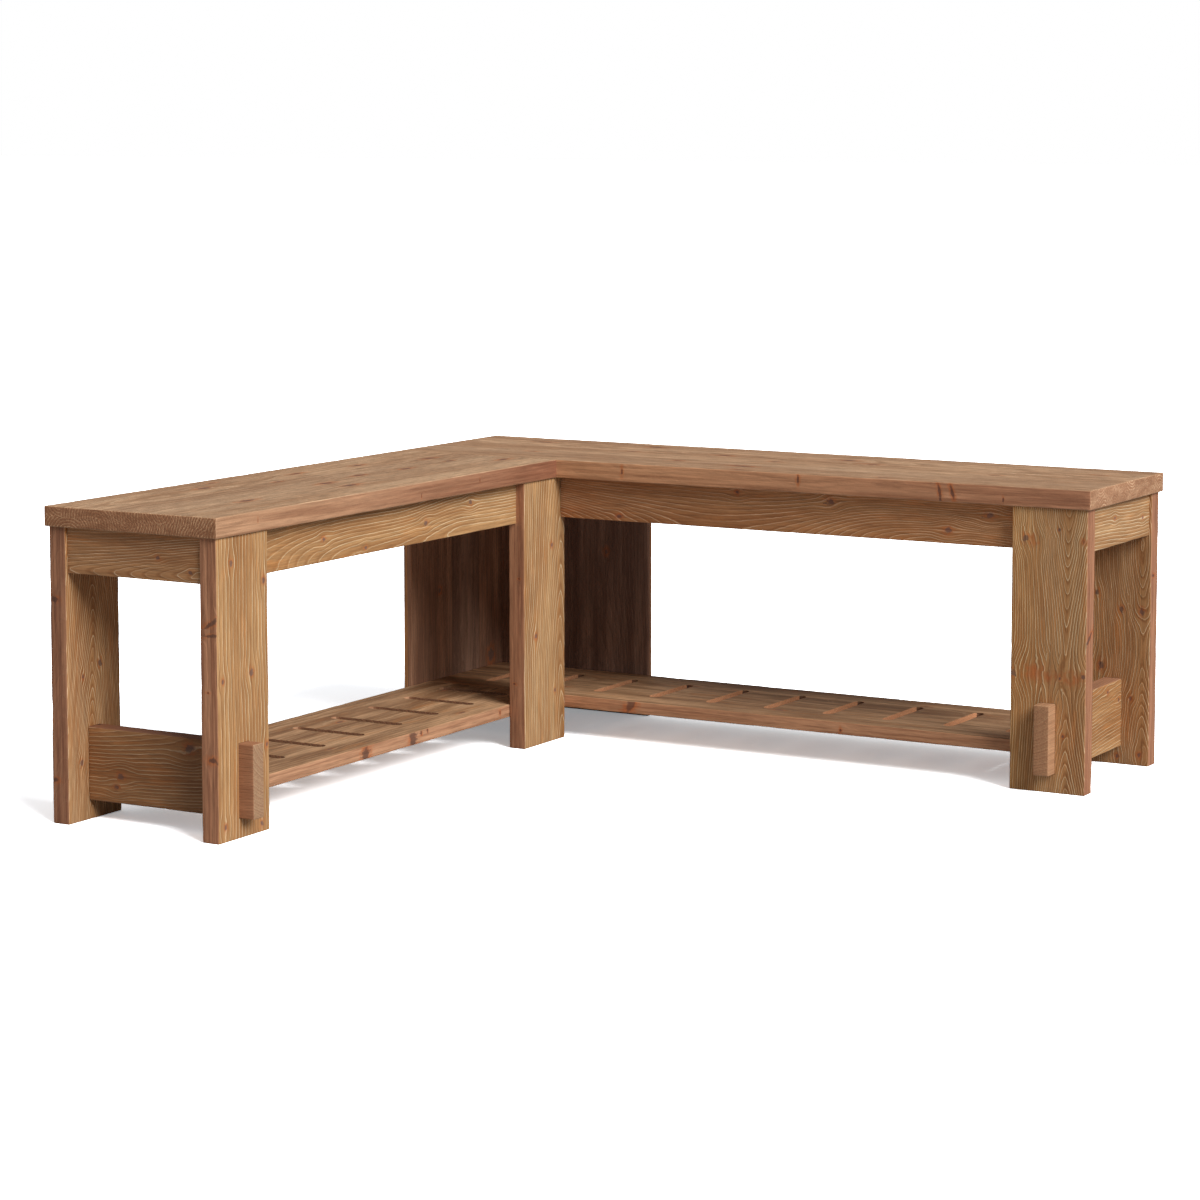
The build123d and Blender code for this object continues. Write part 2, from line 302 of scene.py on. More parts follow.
class Grain:
    """What a board's marks say at a point, as flows of one material.

    The grain mark is the place along, across and through the board. The stock mark is a shift along the
    log and the pith's place. The taper mark is how far the rings have narrowed there along the board, how
    fast they do, and how close they lie. The knot mark is the nearest knot's place and size, and the mood
    mark is its darkness, its length and its slant. The cut mark tells wide faces, edges and ends apart, and
    the arris mark is one on the eased edges.
    """

    def __init__(self, book: ShaderBook) -> None:
        """Reads the marks.

        Args:
            book: the material's nodes.
        """
        self.book = book
        self.along, self.across, self.through = book.parts(book.attribute("grain"))
        self.shift, self.pith_across, self.pith_through = book.parts(book.attribute("stock"))
        self.lift, self.rate, self.pace = book.parts(book.attribute("taper"))
        self.knot_along, self.knot_place, self.knot_size = book.parts(book.attribute("knot"))
        self.tone, self.knot_length, self.knot_lean = book.parts(book.attribute("mood"))
        self.arris = book.attribute("arris", "Fac")
        kind = book.attribute("cut", "Fac")
        self.on_edge = kind > (Cut.WIDE.value + Cut.EDGE.value) / 2
        self.on_end = kind > (Cut.EDGE.value + Cut.END.value) / 2
        self.run = self.along + self.shift

    def noise(
        self,
        along: float,
        across: float,
        detail: float = 2.0,
        roughness: float = 0.5,
        output: str = "Fac",
    ) -> Flow:
        """Noise drawn out along the log.

        Args:
            along: how many noise cells there are to a metre along the log.
            across: how many there are to a metre across and through the board.
            detail: how many octaves.
            roughness: how strong the finer octaves are.
            output: "Fac" for a number, "Color" for three.

        Returns:
            The noise, from nought to one.
        """
        place = self.book.vector(self.run * along, self.across * across, self.through * across)
        return self.book.noise(place, detail, roughness, output)


@dataclass(frozen=True)
class WoodFinish:
    """A brushed and oiled softwood: pale growth rings, fibres, knots, staves and pale eased edges, partly
    real wear and partly painted highlight.

    It reads the marks that each board carries, which Grain tells of. The stain_and_painted_light mark,
    which is each face's own stain together with the painted light and shade that some boards are given,
    multiplies the colours. Strengths are shares from nought to one, and a stretch is how many times longer
    than wide a knot lies on its face.
    """

    slot: str
    body: Colour = (0.500, 0.258, 0.106)
    deep: Colour = (0.350, 0.152, 0.054)
    late: Colour = (0.275, 0.104, 0.032)
    pale: Colour = (0.760, 0.545, 0.320)
    flush: Colour = (0.520, 0.190, 0.050)
    edge_body: Colour = (0.455, 0.212, 0.114)
    edge_deep: Colour = (0.270, 0.110, 0.057)
    end_body: Colour = (0.370, 0.188, 0.098)
    end_deep: Colour = (0.270, 0.110, 0.057)
    end_pale: Colour = (0.600, 0.400, 0.230)
    knot_core: Colour = (0.180, 0.095, 0.066)
    edge_core: Colour = (0.120, 0.055, 0.036)
    knot_halo: Colour = (0.440, 0.125, 0.036)
    ring_pitch: float = 4.3 * MM
    end_pitch: float = 4.0 * MM
    line_width: float = 0.95 * MM
    line_strength: float = 0.88
    late_strength: float = 0.65
    streak_strength: float = 0.45
    flush_strength: float = 0.50
    end_strength: float = 0.35
    knot_strength: float = 0.85
    halo_strength: float = 0.75
    # How strongly the eased edges are paled: partly real wear, partly a painted highlight
    arris_wear_and_highlight: float = 0.30
    knot_stretch: float = 1.3
    edge_stretch: float = 0.55
    streak_scale: float = 120.0
    sway: float = 0.05
    side_sway: float = 0.030
    narrow: float = 420.0
    quiver: float = 1.0
    grit: float = 0.0
    vein_strength: float = 1.0
    bump_depth: float = 0.8 * MM
    gloss: float = 0.22
    stave_width: float = 0.0
    stave_layers: int = 1
    stave_start: float = 0.2
    stave_shift: float = 3.0
    layer_step: float = 0.43
    layer_middle: float = 7.4 * MM
    seam_strength: float = 0.35
    stave_dark: Colour = (0.93, 0.93, 0.94)
    stave_light: Colour = (1.06, 1.06, 1.05)

    def material(self) -> bpy.types.Material:
        """Builds the finish.

        Returns:
            The material.
        """
        book = ShaderBook(bpy.data.materials.new(self.slot))
        grain = Grain(book)
        tint: Optional[Flow] = None
        if self.stave_width > 0.0:
            place, _, seed = self.staves(grain)
            own = book.draw(seed, "Value")
            grain.run = grain.run + own * self.stave_shift
            tint = book.mix(own, self.stave_dark, self.stave_light)
        core, halo, bend = self.knot_marks(grain)
        ring, wiggle, slope = self.rings(grain, bend)
        turn = (ring + wiggle) * grain.pace / self.ring_pitch
        line, late = self.ring_marks(grain, turn, slope * grain.pace)
        fibre = grain.noise(22.0, 400.0, 3.0, 0.7)
        blotch = grain.noise(2.6, 22.0, 3.0, 0.6)

        wide = self.wide_colour(grain, blotch, line, late)
        if tint is not None:
            seam = ((place - place.apply("FLOOR")) - 0.5).apply("ABSOLUTE").ease(0.484, 0.498)
            wide = book.mix(1.0, wide, tint, "MULTIPLY")
            wide = book.mix(seam * self.seam_strength, wide, self.late)
        if self.stave_layers > 1:
            end_line, end_late = self.stave_end_marks(grain)
        else:
            coarse = self.ring_pitch / self.end_pitch
            end_turn = (ring + wiggle * 3.0) / self.end_pitch
            end_line, end_late = self.ring_marks(grain, end_turn, slope * coarse)

        # The faces by their cut, with knots on all but the ends
        colour = book.mix(grain.on_edge, wide, self.edge_colour(grain, blotch, line))
        colour = book.mix(halo * self.halo_strength, colour, self.knot_halo)
        heart = book.mix(grain.on_edge, self.knot_core, self.edge_core)
        colour = book.mix(core * self.knot_strength, colour, heart)
        colour = book.mix(grain.on_end, colour, self.end_colour(grain, end_line, end_late))

        # Fibres and pores over all, then each face's own stain with its painted light and shade, and the
        # pale eased edges, partly real wear and partly painted highlight
        pores = grain.noise(26.0, 210.0, 2.0, 0.7)
        rough = 1.2 - grain.on_edge * (1.0 - self.vein_strength) * 0.9
        pitted = (pores - 0.5) * (1.0 - grain.on_edge) * self.grit
        grey = book.vector(*[1.0 + fibre.swing(rough) + pitted] * 3)
        colour = book.mix(1.0, colour, grey, "MULTIPLY")
        # Each face's stain, with the painted light and shade of some boards, multiplies the colour
        colour = book.mix(1.0, colour, book.attribute("stain_and_painted_light"), "MULTIPLY")
        colour = book.mix(grain.arris * self.arris_wear_and_highlight, colour, self.pale)
        roughness = 0.56 + fibre * 0.16 + line * 0.06 - core * 0.10
        height = 0.50 + fibre * 0.40 - late * 0.25 + line * 0.15 - core * 0.25
        book.shade(colour, roughness, height, self.bump_depth, Specular_IOR_Level=self.gloss)
        return book.owner

    def knot_marks(self, grain: Grain) -> Tuple[Flow, Flow, Flow]:
        """The nearest knot, ragged and smudged along the grain.

        Args:
            grain: the board's marks.

        Returns:
            The masks of its heart and of the red wood round it, and how far the grain is bowed aside.
        """
        stretch = self.knot_stretch + grain.on_edge * (self.edge_stretch - self.knot_stretch)
        off_place = grain.across + grain.on_edge * (grain.through - grain.across) - grain.knot_place
        off_along = grain.along - grain.knot_along - grain.knot_lean * off_place
        off_along = off_along / (stretch * grain.knot_length)
        ragged = grain.noise(170.0, 230.0, 2.0, 0.6)
        lumpy = grain.noise(60.0, 90.0)
        reach = (off_along * off_along + off_place * off_place).apply("SQRT") / grain.knot_size
        rough_reach = reach * (1.0 + ragged.swing(1.6) + lumpy.swing(1.8))
        core = rough_reach.ease(1.0, 0.45) * grain.tone
        halo = rough_reach.ease(2.3, 0.7) * lumpy.ease(0.30, 0.62)
        bow = reach.ease(6.0, 0.2) * 0.70
        return core, halo, off_place * bow

    def rings(self, grain: Grain, bend: Flow) -> Tuple[Flow, Flow, Flow]:
        """Growth rings round the pith, which wander along the board.

        Args:
            grain: the board's marks.
            bend: how far the grain is bowed aside by a knot.

        Returns:
            The distance from the pith, its unevenness, and how steeply it changes over the face.
        """
        book = grain.book
        flat = 1.0 - grain.on_edge
        sway_across, sway_through, _ = book.parts(grain.noise(3.0, 4.0, 1.0, 0.35, "Color"))
        near_across = grain.across - bend * flat
        near_through = grain.through - bend * grain.on_edge
        out_across = near_across - grain.pith_across + sway_across.swing(self.side_sway)
        out_through = near_through - grain.pith_through + sway_through.swing(self.sway)
        round_pith = (out_across * out_across + out_through * out_through).apply("SQRT")
        fade = 1.0 / (1.0 + out_across * out_across * self.narrow)
        ring = round_pith + grain.lift * fade
        climb = grain.rate * fade
        narrowing = grain.lift * fade * fade * out_across * 2.0 * self.narrow
        steep_across = out_across / (round_pith + 0.0001) - narrowing
        steep_through = out_through / (round_pith + 0.0001)
        steep = steep_across * flat + steep_through * grain.on_edge
        slope = (steep * steep + climb * climb + 0.02).apply("SQRT")
        spot = book.vector(grain.run * 40.0, grain.across * 55.0, grain.through * 40.0)
        quick = book.noise(spot, 2.0, 0.6)
        shiver = grain.noise(130.0, 120.0, 1.0, 0.5)
        wiggle = (quick.swing(2.2 * MM) + shiver.swing(2.0 * MM)) * self.quiver
        return ring, wiggle, slope

    def ring_marks(self, grain: Grain, turn: Flow, slope: Flow) -> Tuple[Flow, Flow]:
        """The pale line and the dark late wood of each growth ring.

        Args:
            grain: the board's marks.
            turn: the distance from the pith in rings.
            slope: how steeply the rings meet the face, so that a line keeps its width.

        Returns:
            Both masks.
        """
        phase = turn.apply("FRACT")
        year = turn.apply("FLOOR")
        vigour = grain.book.noise(grain.book.vector(grain.run * 7.0, year * 3.7, 0.5), 3.0, 0.65)
        off = (phase - 0.5).apply("ABSOLUTE") * self.ring_pitch / slope
        line = off.ease(self.line_width, self.line_width * 0.2) * (0.15 + vigour.ease(0.32, 0.64) * 0.85)
        late = phase.ease(0.54, 0.68) * phase.ease(1.0, 0.70)
        return line, late

    def wide_colour(self, grain: Grain, blotch: Flow, line: Flow, late: Flow) -> Flow:
        """The colour of the wide faces.

        Args:
            grain: the board's marks.
            blotch: broad patches.
            line: the mask of the rings' pale lines.
            late: the mask of the rings' late wood.

        Returns:
            The colour.
        """
        book = grain.book
        streak = grain.noise(3.0, self.streak_scale, 3.0, 0.60)
        spot = book.vector(grain.run * 9.0 + 40.0, grain.across * 60.0, grain.through * 60.0)
        warm = book.noise(spot, 4.0, 0.65)
        wide = book.mix(blotch.ease(0.32, 0.66), self.deep, self.body)
        wide = book.mix(streak.ease(0.58, 0.36) * self.streak_strength, wide, self.deep)
        wide = book.mix(late * self.late_strength, wide, self.late)
        wide = book.mix(warm.ease(0.54, 0.72) * self.flush_strength, wide, self.flush)
        return book.mix(line * self.line_strength, wide, self.pale)

    def edge_colour(self, grain: Grain, blotch: Flow, line: Flow) -> Flow:
        """The colour of the narrow edges, redder and plainer.

        Args:
            grain: the board's marks.
            blotch: broad patches.
            line: the mask of the rings' pale lines.

        Returns:
            The colour.
        """
        book = grain.book
        vein = grain.noise(4.5, 170.0, 4.0, 0.65)
        plain = 1.0 - vein.ease(0.60, 0.34) * self.vein_strength
        edge = book.mix(plain, self.edge_deep, self.edge_body)
        edge = book.mix(blotch.ease(0.60, 0.35) * 0.35, edge, self.edge_deep)
        return book.mix(line * 0.05, edge, self.pale)

    def end_colour(self, grain: Grain, line: Flow, late: Flow) -> Flow:
        """The colour of the end grain.

        Args:
            grain: the board's marks.
            line: the mask of the pale lines.
            late: the mask of the late wood.

        Returns:
            The colour.
        """
        book = grain.book
        end = book.mix(late * self.end_strength, self.end_body, self.end_deep)
        end = book.mix(line * self.end_strength, end, self.end_pale)
        spot = book.vector(grain.along * 300.0, grain.across * 420.0, grain.through * 420.0)
        speck = book.noise(spot, 2.0, 0.7)
        return book.mix(speck.ease(0.55, 0.35) * 0.40, end, self.end_deep)

    def staves(self, grain: Grain) -> Tuple[Flow, Flow, Flow]:
        """The staves that a wide board is glued up from.

        Args:
            grain: the board's marks.

        Returns:
            The place across the board in staves, the stave's layer, and the seed of its own draws.
        """
        layer = (grain.through > 0.0) * float(self.stave_layers > 1)
        place = grain.across / self.stave_width + layer * self.layer_step + self.stave_start
        seed = grain.book.vector(place.apply("FLOOR"), layer * 7.0, grain.shift)
        return place, layer, seed

    def stave_end_marks(self, grain: Grain) -> Tuple[Flow, Flow]:
        """The ring arcs on the end of a board glued up in two layers of staves.

        Args:
            grain: the board's marks.

        Returns:
            The masks of the pale lines, and of the darker staves and the late wood.
        """
        book = grain.book
        across, through, shift = grain.across, grain.through, grain.shift
        place, upper, seed = self.staves(grain)
        first, second, third = book.parts(book.draw(seed, "Color"))
        sway = book.noise(book.vector(across * 45.0, through * 45.0, shift), 2.0)
        out_across = (place - place.apply("FLOOR") - 0.5 - first.swing(1.3)) * self.stave_width
        flip = (third > 0.45) * 2.0 - 1.0
        layer_side = upper * 2.0 - 1.0
        out_through = through - layer_side * self.layer_middle + flip * (0.002 + second * 0.030)
        ring = (out_across * out_across + out_through * out_through).apply("SQRT")
        fine = book.noise(book.vector(across * 300.0, through * 300.0, shift), 2.0)
        turn = (ring + sway.swing(6.0 * MM) + fine.swing(1.0 * MM)) / self.end_pitch
        phase = turn.apply("FRACT")
        fade = book.noise(book.vector(across * 38.0, through * 90.0, shift + 3.0), 2.0)
        clear = 0.22 + fade.ease(0.40, 0.62) * (0.30 + second * 0.45)
        line = (phase - 0.5).apply("ABSOLUTE").ease(0.24, 0.06) * clear
        late = phase.ease(0.55, 0.70) * phase.ease(1.0, 0.72)
        dusk = third * 0.40 + fade.ease(0.55, 0.35) * 0.15
        return line, late * 0.35 + dusk


@dataclass(frozen=True)
class SteelFinish:
    """Zinc-plated steel with faint brushing."""

    slot: str
    colour: Colour = (0.52, 0.50, 0.45)

    def material(self) -> bpy.types.Material:
        """Builds the finish.

        Returns:
            The material.
        """
        book = ShaderBook(bpy.data.materials.new(self.slot))
        brushing = book.speckle(900.0, 2.0)
        colour = book.mix(brushing, tuple(c * 0.7 for c in self.colour), self.colour)
        book.shade(colour, 0.28 + brushing * 0.2, brushing, 0.05 * MM, Metallic=1.0)
        return book.owner


@dataclass(frozen=True)
class DowelFinish:
    """Plain pale beech for the dowels, which are hidden once the bench is together."""

    slot: str
    pale: Colour = (0.66, 0.47, 0.28)
    dark: Colour = (0.52, 0.34, 0.18)

    def material(self) -> bpy.types.Material:
        """Builds the finish.

        Returns:
            The material.
        """
        book = ShaderBook(bpy.data.materials.new(self.slot))
        fleck = book.speckle(220.0, 3.0, 0.6)
        colour = book.mix(fleck.ease(0.35, 0.65), self.dark, self.pale)
        book.shade(colour, 0.55 + fleck * 0.15, fleck, 0.2 * MM, Specular_IOR_Level=0.3)
        return book.owner


@dataclass(frozen=True)
class Knot:
    """A knot in a board: where its middle is along the board and across the face, in millimetres.

    Its length along the grain is a share of the finish's usual one, and its lean is the slant of its
    middle line. A tone of nought leaves only the red wood round it.
    """

    along: float
    place: float
    size: float = 4.0
    tone: float = 1.0
    length: float = 1.0
    lean: float = 0.0
    cut: Cut = Cut.WIDE


def knots(*places: Tuple[float, ...], cut: Cut = Cut.WIDE) -> Tuple[Knot, ...]:
    """Several knots on the same kind of face.

    Args:
        places: for each knot the place along, the place across and, if not usual, the size, darkness,
            length and lean.
        cut: the kind of face.

    Returns:
        The knots.
    """
    return tuple(Knot(*place, cut=cut) for place in places)


def even(colour: Colour) -> Fade:
    """The same shade from one end to the other."""
    return (colour, colour)


def placed(name: str, data: Any) -> bpy.types.Object:
    """Puts a new object into the scene, at the origin.

    Args:
        name: its name.
        data: its mesh, light or camera.

    Returns:
        The object.
    """
    piece = bpy.data.objects.new(name, data)
    bpy.context.scene.collection.objects.link(piece)
    return piece


def smoothed(mesh: bpy.types.Mesh, crease: float) -> None:
    """Shades a mesh smooth, but for its creases.

    Args:
        mesh: the mesh.
        crease: the least angle of a crease, in degrees.
    """
    mesh.polygons.foreach_set("use_smooth", [True] * len(mesh.polygons))
    mesh.set_sharp_from_angle(angle=math.radians(crease))


@dataclass
class Plank:
    """A board with eased, slightly worn edges that stands for one CAD node.

    Its seed picks its place in the log and its wear. The pith's place is given across and through the
    board, and the taper is how much the rings narrow to a metre of length. The swell is a wave in the log:
    the place of its crest, its length and its height. The sharp sides, given by axis, keep their edges.
    Past the two places of plain_past the wide faces are finished as edges. The stain_and_painted_light
    shades the whole board, tip_stain the tips past those places, end_stain_and_painted_light the end grain,
    painted_face_light and edge_stain_and_painted_light the wide faces and the edges from one end to the
    other, side_tint the low side of the wide faces, slot_painted_shade the walls of openings, and
    painted_shade_lift the half of the board on one of its wide sides. These carry painted light and shade
    where a board needs it: painted shade on a recessed rail, a painted shadow and pool of light along a
    face, painted bounce light on an edge, painted light on lit slot walls, painted shade in slot ends, and
    the lift of a panel's back out of the painted shade of its finish; elsewhere they are the wood's own
    stain.
    """

    node: str
    finish: str
    seed: int
    ease: float = 1.6 * MM
    cell: float = 7.0 * MM
    wobble: float = 0.55 * MM
    pith: Tuple[float, float] = (0.0, 0.05)
    taper: float = 0.0
    swell: Tuple[float, float, float] = (0.0, 1.0, 0.0)
    knots: Tuple[Knot, ...] = ()
    sharp: Tuple[Tuple[int, Side], ...] = ()
    plain_past: Optional[Tuple[float, float]] = None
    pace: float = 1.0
    stain_and_painted_light: Colour = PLAIN
    tip_stain: Colour = PLAIN
    end_stain_and_painted_light: Colour = PLAIN
    painted_face_light: Fade = EVEN
    edge_stain_and_painted_light: Fade = EVEN
    side_tint: Colour = PLAIN
    slot_painted_shade: float = 1.0
    painted_shade_lift: Optional[Tuple[Side, Colour]] = None
    log_step: float = 3.17
    wear_reach: float = 9.0 * MM
    wear_start: float = 0.1
    arris_share: float = 0.75
    rim_share: float = 0.45
    crease: float = 42.0
    low: np.ndarray = field(init=False)
    high: np.ndarray = field(init=False)

    def __post_init__(self) -> None:
        """Takes the board's box from the frame, and finds its axes."""
        self.low, self.high = (np.array(corner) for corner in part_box(self.node))
        order = np.argsort(self.high - self.low)
        self.thin_axis, self.width_axis, self.grain_axis = (int(axis) for axis in order)

    def edge(self, axis: int, side: Side) -> float:
        """Where the board ends on one side of an axis."""
        return float(self.high[axis] if side is Side.HIGH else self.low[axis])

    def stations(self, axis: int) -> np.ndarray:
        """Where the mesh has its rows along one axis.

        Args:
            axis: 0, 1 or 2.

        Returns:
            The rows' places, with close rows where the edges are eased.
        """
        low, high = self.low[axis], self.high[axis]
        inset = min(self.ease, (high - low) / 4)
        count = max(2, int(round((high - low - 2 * inset) / self.cell)) + 1)
        inner = np.linspace(low + inset, high - inset, count)
        rim = np.array([0.0, 0.3, 0.65]) * inset
        return np.concatenate([low + rim, inner, high - rim[::-1]])

    def wave(self, places: np.ndarray, salt: int) -> np.ndarray:
        """A smooth seeded wave of unit size.

        Args:
            places: where along an edge, in metres.
            salt: picks one of the board's waves.

        Returns:
            The wave's height at each place.
        """
        draw = random.Random(self.seed * 101 + salt)
        total = np.zeros_like(places)
        for cycles, share in ((5.0, 0.45), (13.0, 0.35), (31.0, 0.25), (70.0, 0.15)):
            turns = cycles * draw.uniform(0.8, 1.2) * places + draw.random()
            total += share * np.sin(2 * math.pi * turns)
        return total

    def rounded(self, points: np.ndarray) -> np.ndarray:
        """Eases the edges of points on the board's box.

        Args:
            points: the points, one to a row.

        Returns:
            The moved points.
        """
        inset = min(self.ease, float((self.high - self.low).min()) / 4)
        floor = self.low + inset
        roof = self.high - inset
        for axis, side in self.sharp:
            if side is Side.LOW:
                floor[axis] = self.low[axis]
            else:
                roof[axis] = self.high[axis]
        core = np.clip(points, floor, roof)
        reach = points - core
        length = np.linalg.norm(reach, axis=1, keepdims=True)
        return core + np.where(length > 0, reach / np.maximum(length, 1e-9) * inset, reach)

    def worn(self, points: np.ndarray) -> np.ndarray:
        """Makes the long edges wander a little, inwards only.

        Args:
            points: the eased points.

        Returns:
            The moved points.
        """
        along = points[:, self.grain_axis]
        moved = points.copy()
        for axis, other in ((self.width_axis, self.thin_axis), (self.thin_axis, self.width_axis)):
            for side in Side:
                if (axis, side) in self.sharp:
                    continue
                near = self.closeness(points, axis, side)
                for rim in Side:
                    if (other, rim) in self.sharp:
                        continue
                    close = self.closeness(points, other, rim)
                    salt = axis * 10 + (side is Side.HIGH) * 2 + (rim is Side.HIGH)
                    dip = np.clip(self.wave(along, salt) - self.wear_start, 0.0, 1.0) * self.wobble
                    moved[:, axis] -= side.value * dip * near * close
        return moved

    def closeness(self, points: np.ndarray, axis: int, side: Side) -> np.ndarray:
        """How close points are to one side of the board.

        Args:
            points: the points, one to a row.
            axis: the side's axis.
            side: which side.

        Returns:
            One on the side, and nought from where the wear ends.
        """
        gap = np.abs(points[:, axis] - self.edge(axis, side))
        return np.clip(1.0 - gap / self.wear_reach, 0.0, 1.0)

    def mesh(self) -> bpy.types.Mesh:
        """Builds the board's mesh.

        Returns:
            A closed mesh of quads.
        """
        rows = [self.stations(axis) for axis in range(3)]
        counts = [len(row) for row in rows]
        numbers: Dict[Tuple[int, int, int], int] = {}
        points: List[Point] = []
        faces: List[List[int]] = []

        def corner(index: Tuple[int, int, int]) -> int:
            """The number of the vertex at a place in the lattice.

            Args:
                index: the place's row along each axis.

            Returns:
                The number, which is a new one the first time.
            """
            if index not in numbers:
                numbers[index] = len(points)
                points.append(tuple(rows[axis][index[axis]] for axis in range(3)))
            return numbers[index]

        for axis in range(3):
            first, second = (axis + 1) % 3, (axis + 2) % 3
            for side in (0, counts[axis] - 1):
                for i in range(counts[first] - 1):
                    for j in range(counts[second] - 1):
                        ring = []
                        for step_i, step_j in ((0, 0), (1, 0), (1, 1), (0, 1)):
                            index = [0, 0, 0]
                            index[axis], index[first], index[second] = side, i + step_i, j + step_j
                            ring.append(corner(tuple(index)))
                        faces.append(ring if side else ring[::-1])
        shaped = self.worn(self.rounded(np.array(points)))
        mesh = bpy.data.meshes.new(self.node)
        mesh.from_pydata(shaped.tolist(), [], faces)
        mesh.update()
        return mesh

    def mark(self, mesh: bpy.types.Mesh) -> None:
        """Writes the marks that the finish reads, first those of points and then those of faces.

        Args:
            mesh: the board's mesh, in place.
        """
        count = len(mesh.vertices)
        points = np.empty(count * 3, dtype=np.float32)
        mesh.vertices.foreach_get("co", points)
        points = points.reshape(-1, 3)
        middle = (self.low + self.high) / 2
        order = [self.grain_axis, self.width_axis, self.thin_axis]
        grain = (points - middle)[:, order].astype(np.float32)
        stock = np.tile(np.array([self.seed * self.log_step, *self.pith], dtype=np.float32), (count, 1))
        for name, values in (("grain", grain), ("stock", stock), ("taper", self.narrowing(grain[:, 0]))):
            layer = mesh.attributes.new(name, "FLOAT_VECTOR", "POINT")
            layer.data.foreach_set("vector", np.ascontiguousarray(values).ravel())
        gaps = np.sort(np.minimum(points - self.low, self.high - points), axis=1)
        blunt = np.zeros(count, dtype=bool)
        for axis, side in self.sharp:
            blunt |= np.abs(points[:, axis] - self.edge(axis, side)) < self.ease
        arris = np.clip(1.0 - gaps[:, 1] / (self.ease * self.arris_share), 0.0, 1.0)
        arris = np.where(blunt, 0.0, arris).astype(np.float32)
        mesh.attributes.new("arris", "FLOAT", "POINT").data.foreach_set("value", arris)
        self.mark_faces(mesh, middle, order)

    def narrowing(self, along: np.ndarray) -> np.ndarray:
        """How far the rings have narrowed along the board, and how fast they do.

        The figure turns round at the swell's crest and at its troughs.

        Args:
            along: the places along the board.

        Returns:
            One row for each place: the narrowing, its rate and how close the rings lie.
        """
        crest, length, height = self.swell
        angle = 2 * math.pi * (along - crest) / length
        rows = np.zeros((len(along), 3), dtype=np.float32)
        rows[:, 0] = along * self.taper + height * np.cos(angle)
        rows[:, 1] = self.taper - height * 2 * math.pi / length * np.sin(angle)
        rows[:, 2] = self.pace
        return rows

    def mark_faces(self, mesh: bpy.types.Mesh, middle: np.ndarray, order: List[int]) -> None:
        """Writes each face's cut, its stain with any painted light and shade, and its nearest knot.

        Args:
            mesh: the board's mesh, in place.
            middle: the board's middle.
            order: the grain, width and thin axes.
        """
        count = len(mesh.polygons)
        normals = np.empty(count * 3, dtype=np.float32)
        centres = np.empty(count * 3, dtype=np.float32)
        mesh.polygons.foreach_get("normal", normals)
        mesh.polygons.foreach_get("center", centres)
        facing = np.abs(normals.reshape(-1, 3)[:, order]).argmax(axis=1)
        cuts = np.array([Cut.END.value, Cut.EDGE.value, Cut.WIDE.value])[facing]
        local = (centres.reshape(-1, 3) - middle)[:, order]
        far_away = (9.0, 9.0, 1.0 * MM)
        no_mood = (0.0, 1.0, 0.0)
        nearest = np.tile(np.array(far_away), (count, 1))
        moods = np.tile(np.array(no_mood), (count, 1))
        best = np.full(count, np.inf)
        for knot in self.knots:
            spot = np.array([knot.along, knot.place, knot.size]) * MM
            place = local[:, 1] if knot.cut is Cut.WIDE else local[:, 2]
            gap = np.hypot(local[:, 0] - spot[0], place - spot[1]) / spot[2]
            closer = (gap < best) & (cuts == knot.cut.value)
            best[closer] = gap[closer]
            nearest[closer] = spot
            moods[closer] = (knot.tone, knot.length, knot.lean)
        stains_and_painted_light = self.shades(local, cuts)
        cuts[self.tips(local) & (cuts == Cut.WIDE.value)] = Cut.EDGE.value
        mesh.attributes.new("cut", "FLOAT", "FACE").data.foreach_set("value", cuts.astype(np.float32))
        for name, values in (("knot", nearest), ("mood", moods), ("stain_and_painted_light", stains_and_painted_light)):
            layer = mesh.attributes.new(name, "FLOAT_VECTOR", "FACE")
            layer.data.foreach_set("vector", values.astype(np.float32).ravel())

    def shades(self, local: np.ndarray, cuts: np.ndarray) -> np.ndarray:
        """Each face's own stain, with the painted light and shade that some boards are given.

        Args:
            local: the faces' middles along, across and through the board.
            cuts: the faces' cuts.

        Returns:
            One colour for each face.
        """
        length, width = ((self.high - self.low)[axis] for axis in (self.grain_axis, self.width_axis))
        share = (local[:, :1] / length + 0.5).clip(0.0, 1.0)
        low_side = (-2.0 * local[:, 1:2] / width).clip(0.0, 1.0)
        wide, edges, ends = (cuts == cut.value for cut in Cut)

        def along(fade: Fade) -> np.ndarray:
            """A fade's shade at each face."""
            first, last = (np.array(colour) for colour in fade)
            return first + (last - first) * share

        stains_and_painted_light = np.tile(np.array(self.stain_and_painted_light), (len(cuts), 1))
        # Painted shadow and light along a face, where a board has it
        stains_and_painted_light[wide] *= along(self.painted_face_light)[wide]
        stains_and_painted_light[self.tips(local)] = self.tip_stain
        # Lifts one side of a board out of the painted shade of its finish
        if self.painted_shade_lift is not None:
            side, shade = self.painted_shade_lift
            stains_and_painted_light[local[:, 2] * side.value > 0] = shade
        stains_and_painted_light[wide] *= (1.0 + (np.array(self.side_tint) - 1.0) * low_side)[wide]
        stains_and_painted_light[edges] *= along(self.edge_stain_and_painted_light)[edges]
        # Painted shade in the rounded ends of openings
        inside = np.abs(local[:, 1]) < width * self.rim_share
        stains_and_painted_light[edges & inside] *= self.slot_painted_shade
        stains_and_painted_light[ends] *= self.end_stain_and_painted_light
        return stains_and_painted_light

    def tips(self, local: np.ndarray) -> np.ndarray:
        """Which faces lie past the two places of plain_past.

        Args:
            local: the faces' middles along, across and through the board.

        Returns:
            True for each of them, and for none where there are no such places.
        """
        if self.plain_past is None:
            return np.zeros(len(local), dtype=bool)
        first, last = self.plain_past
        return (local[:, 0] < first) | (local[:, 0] > last)

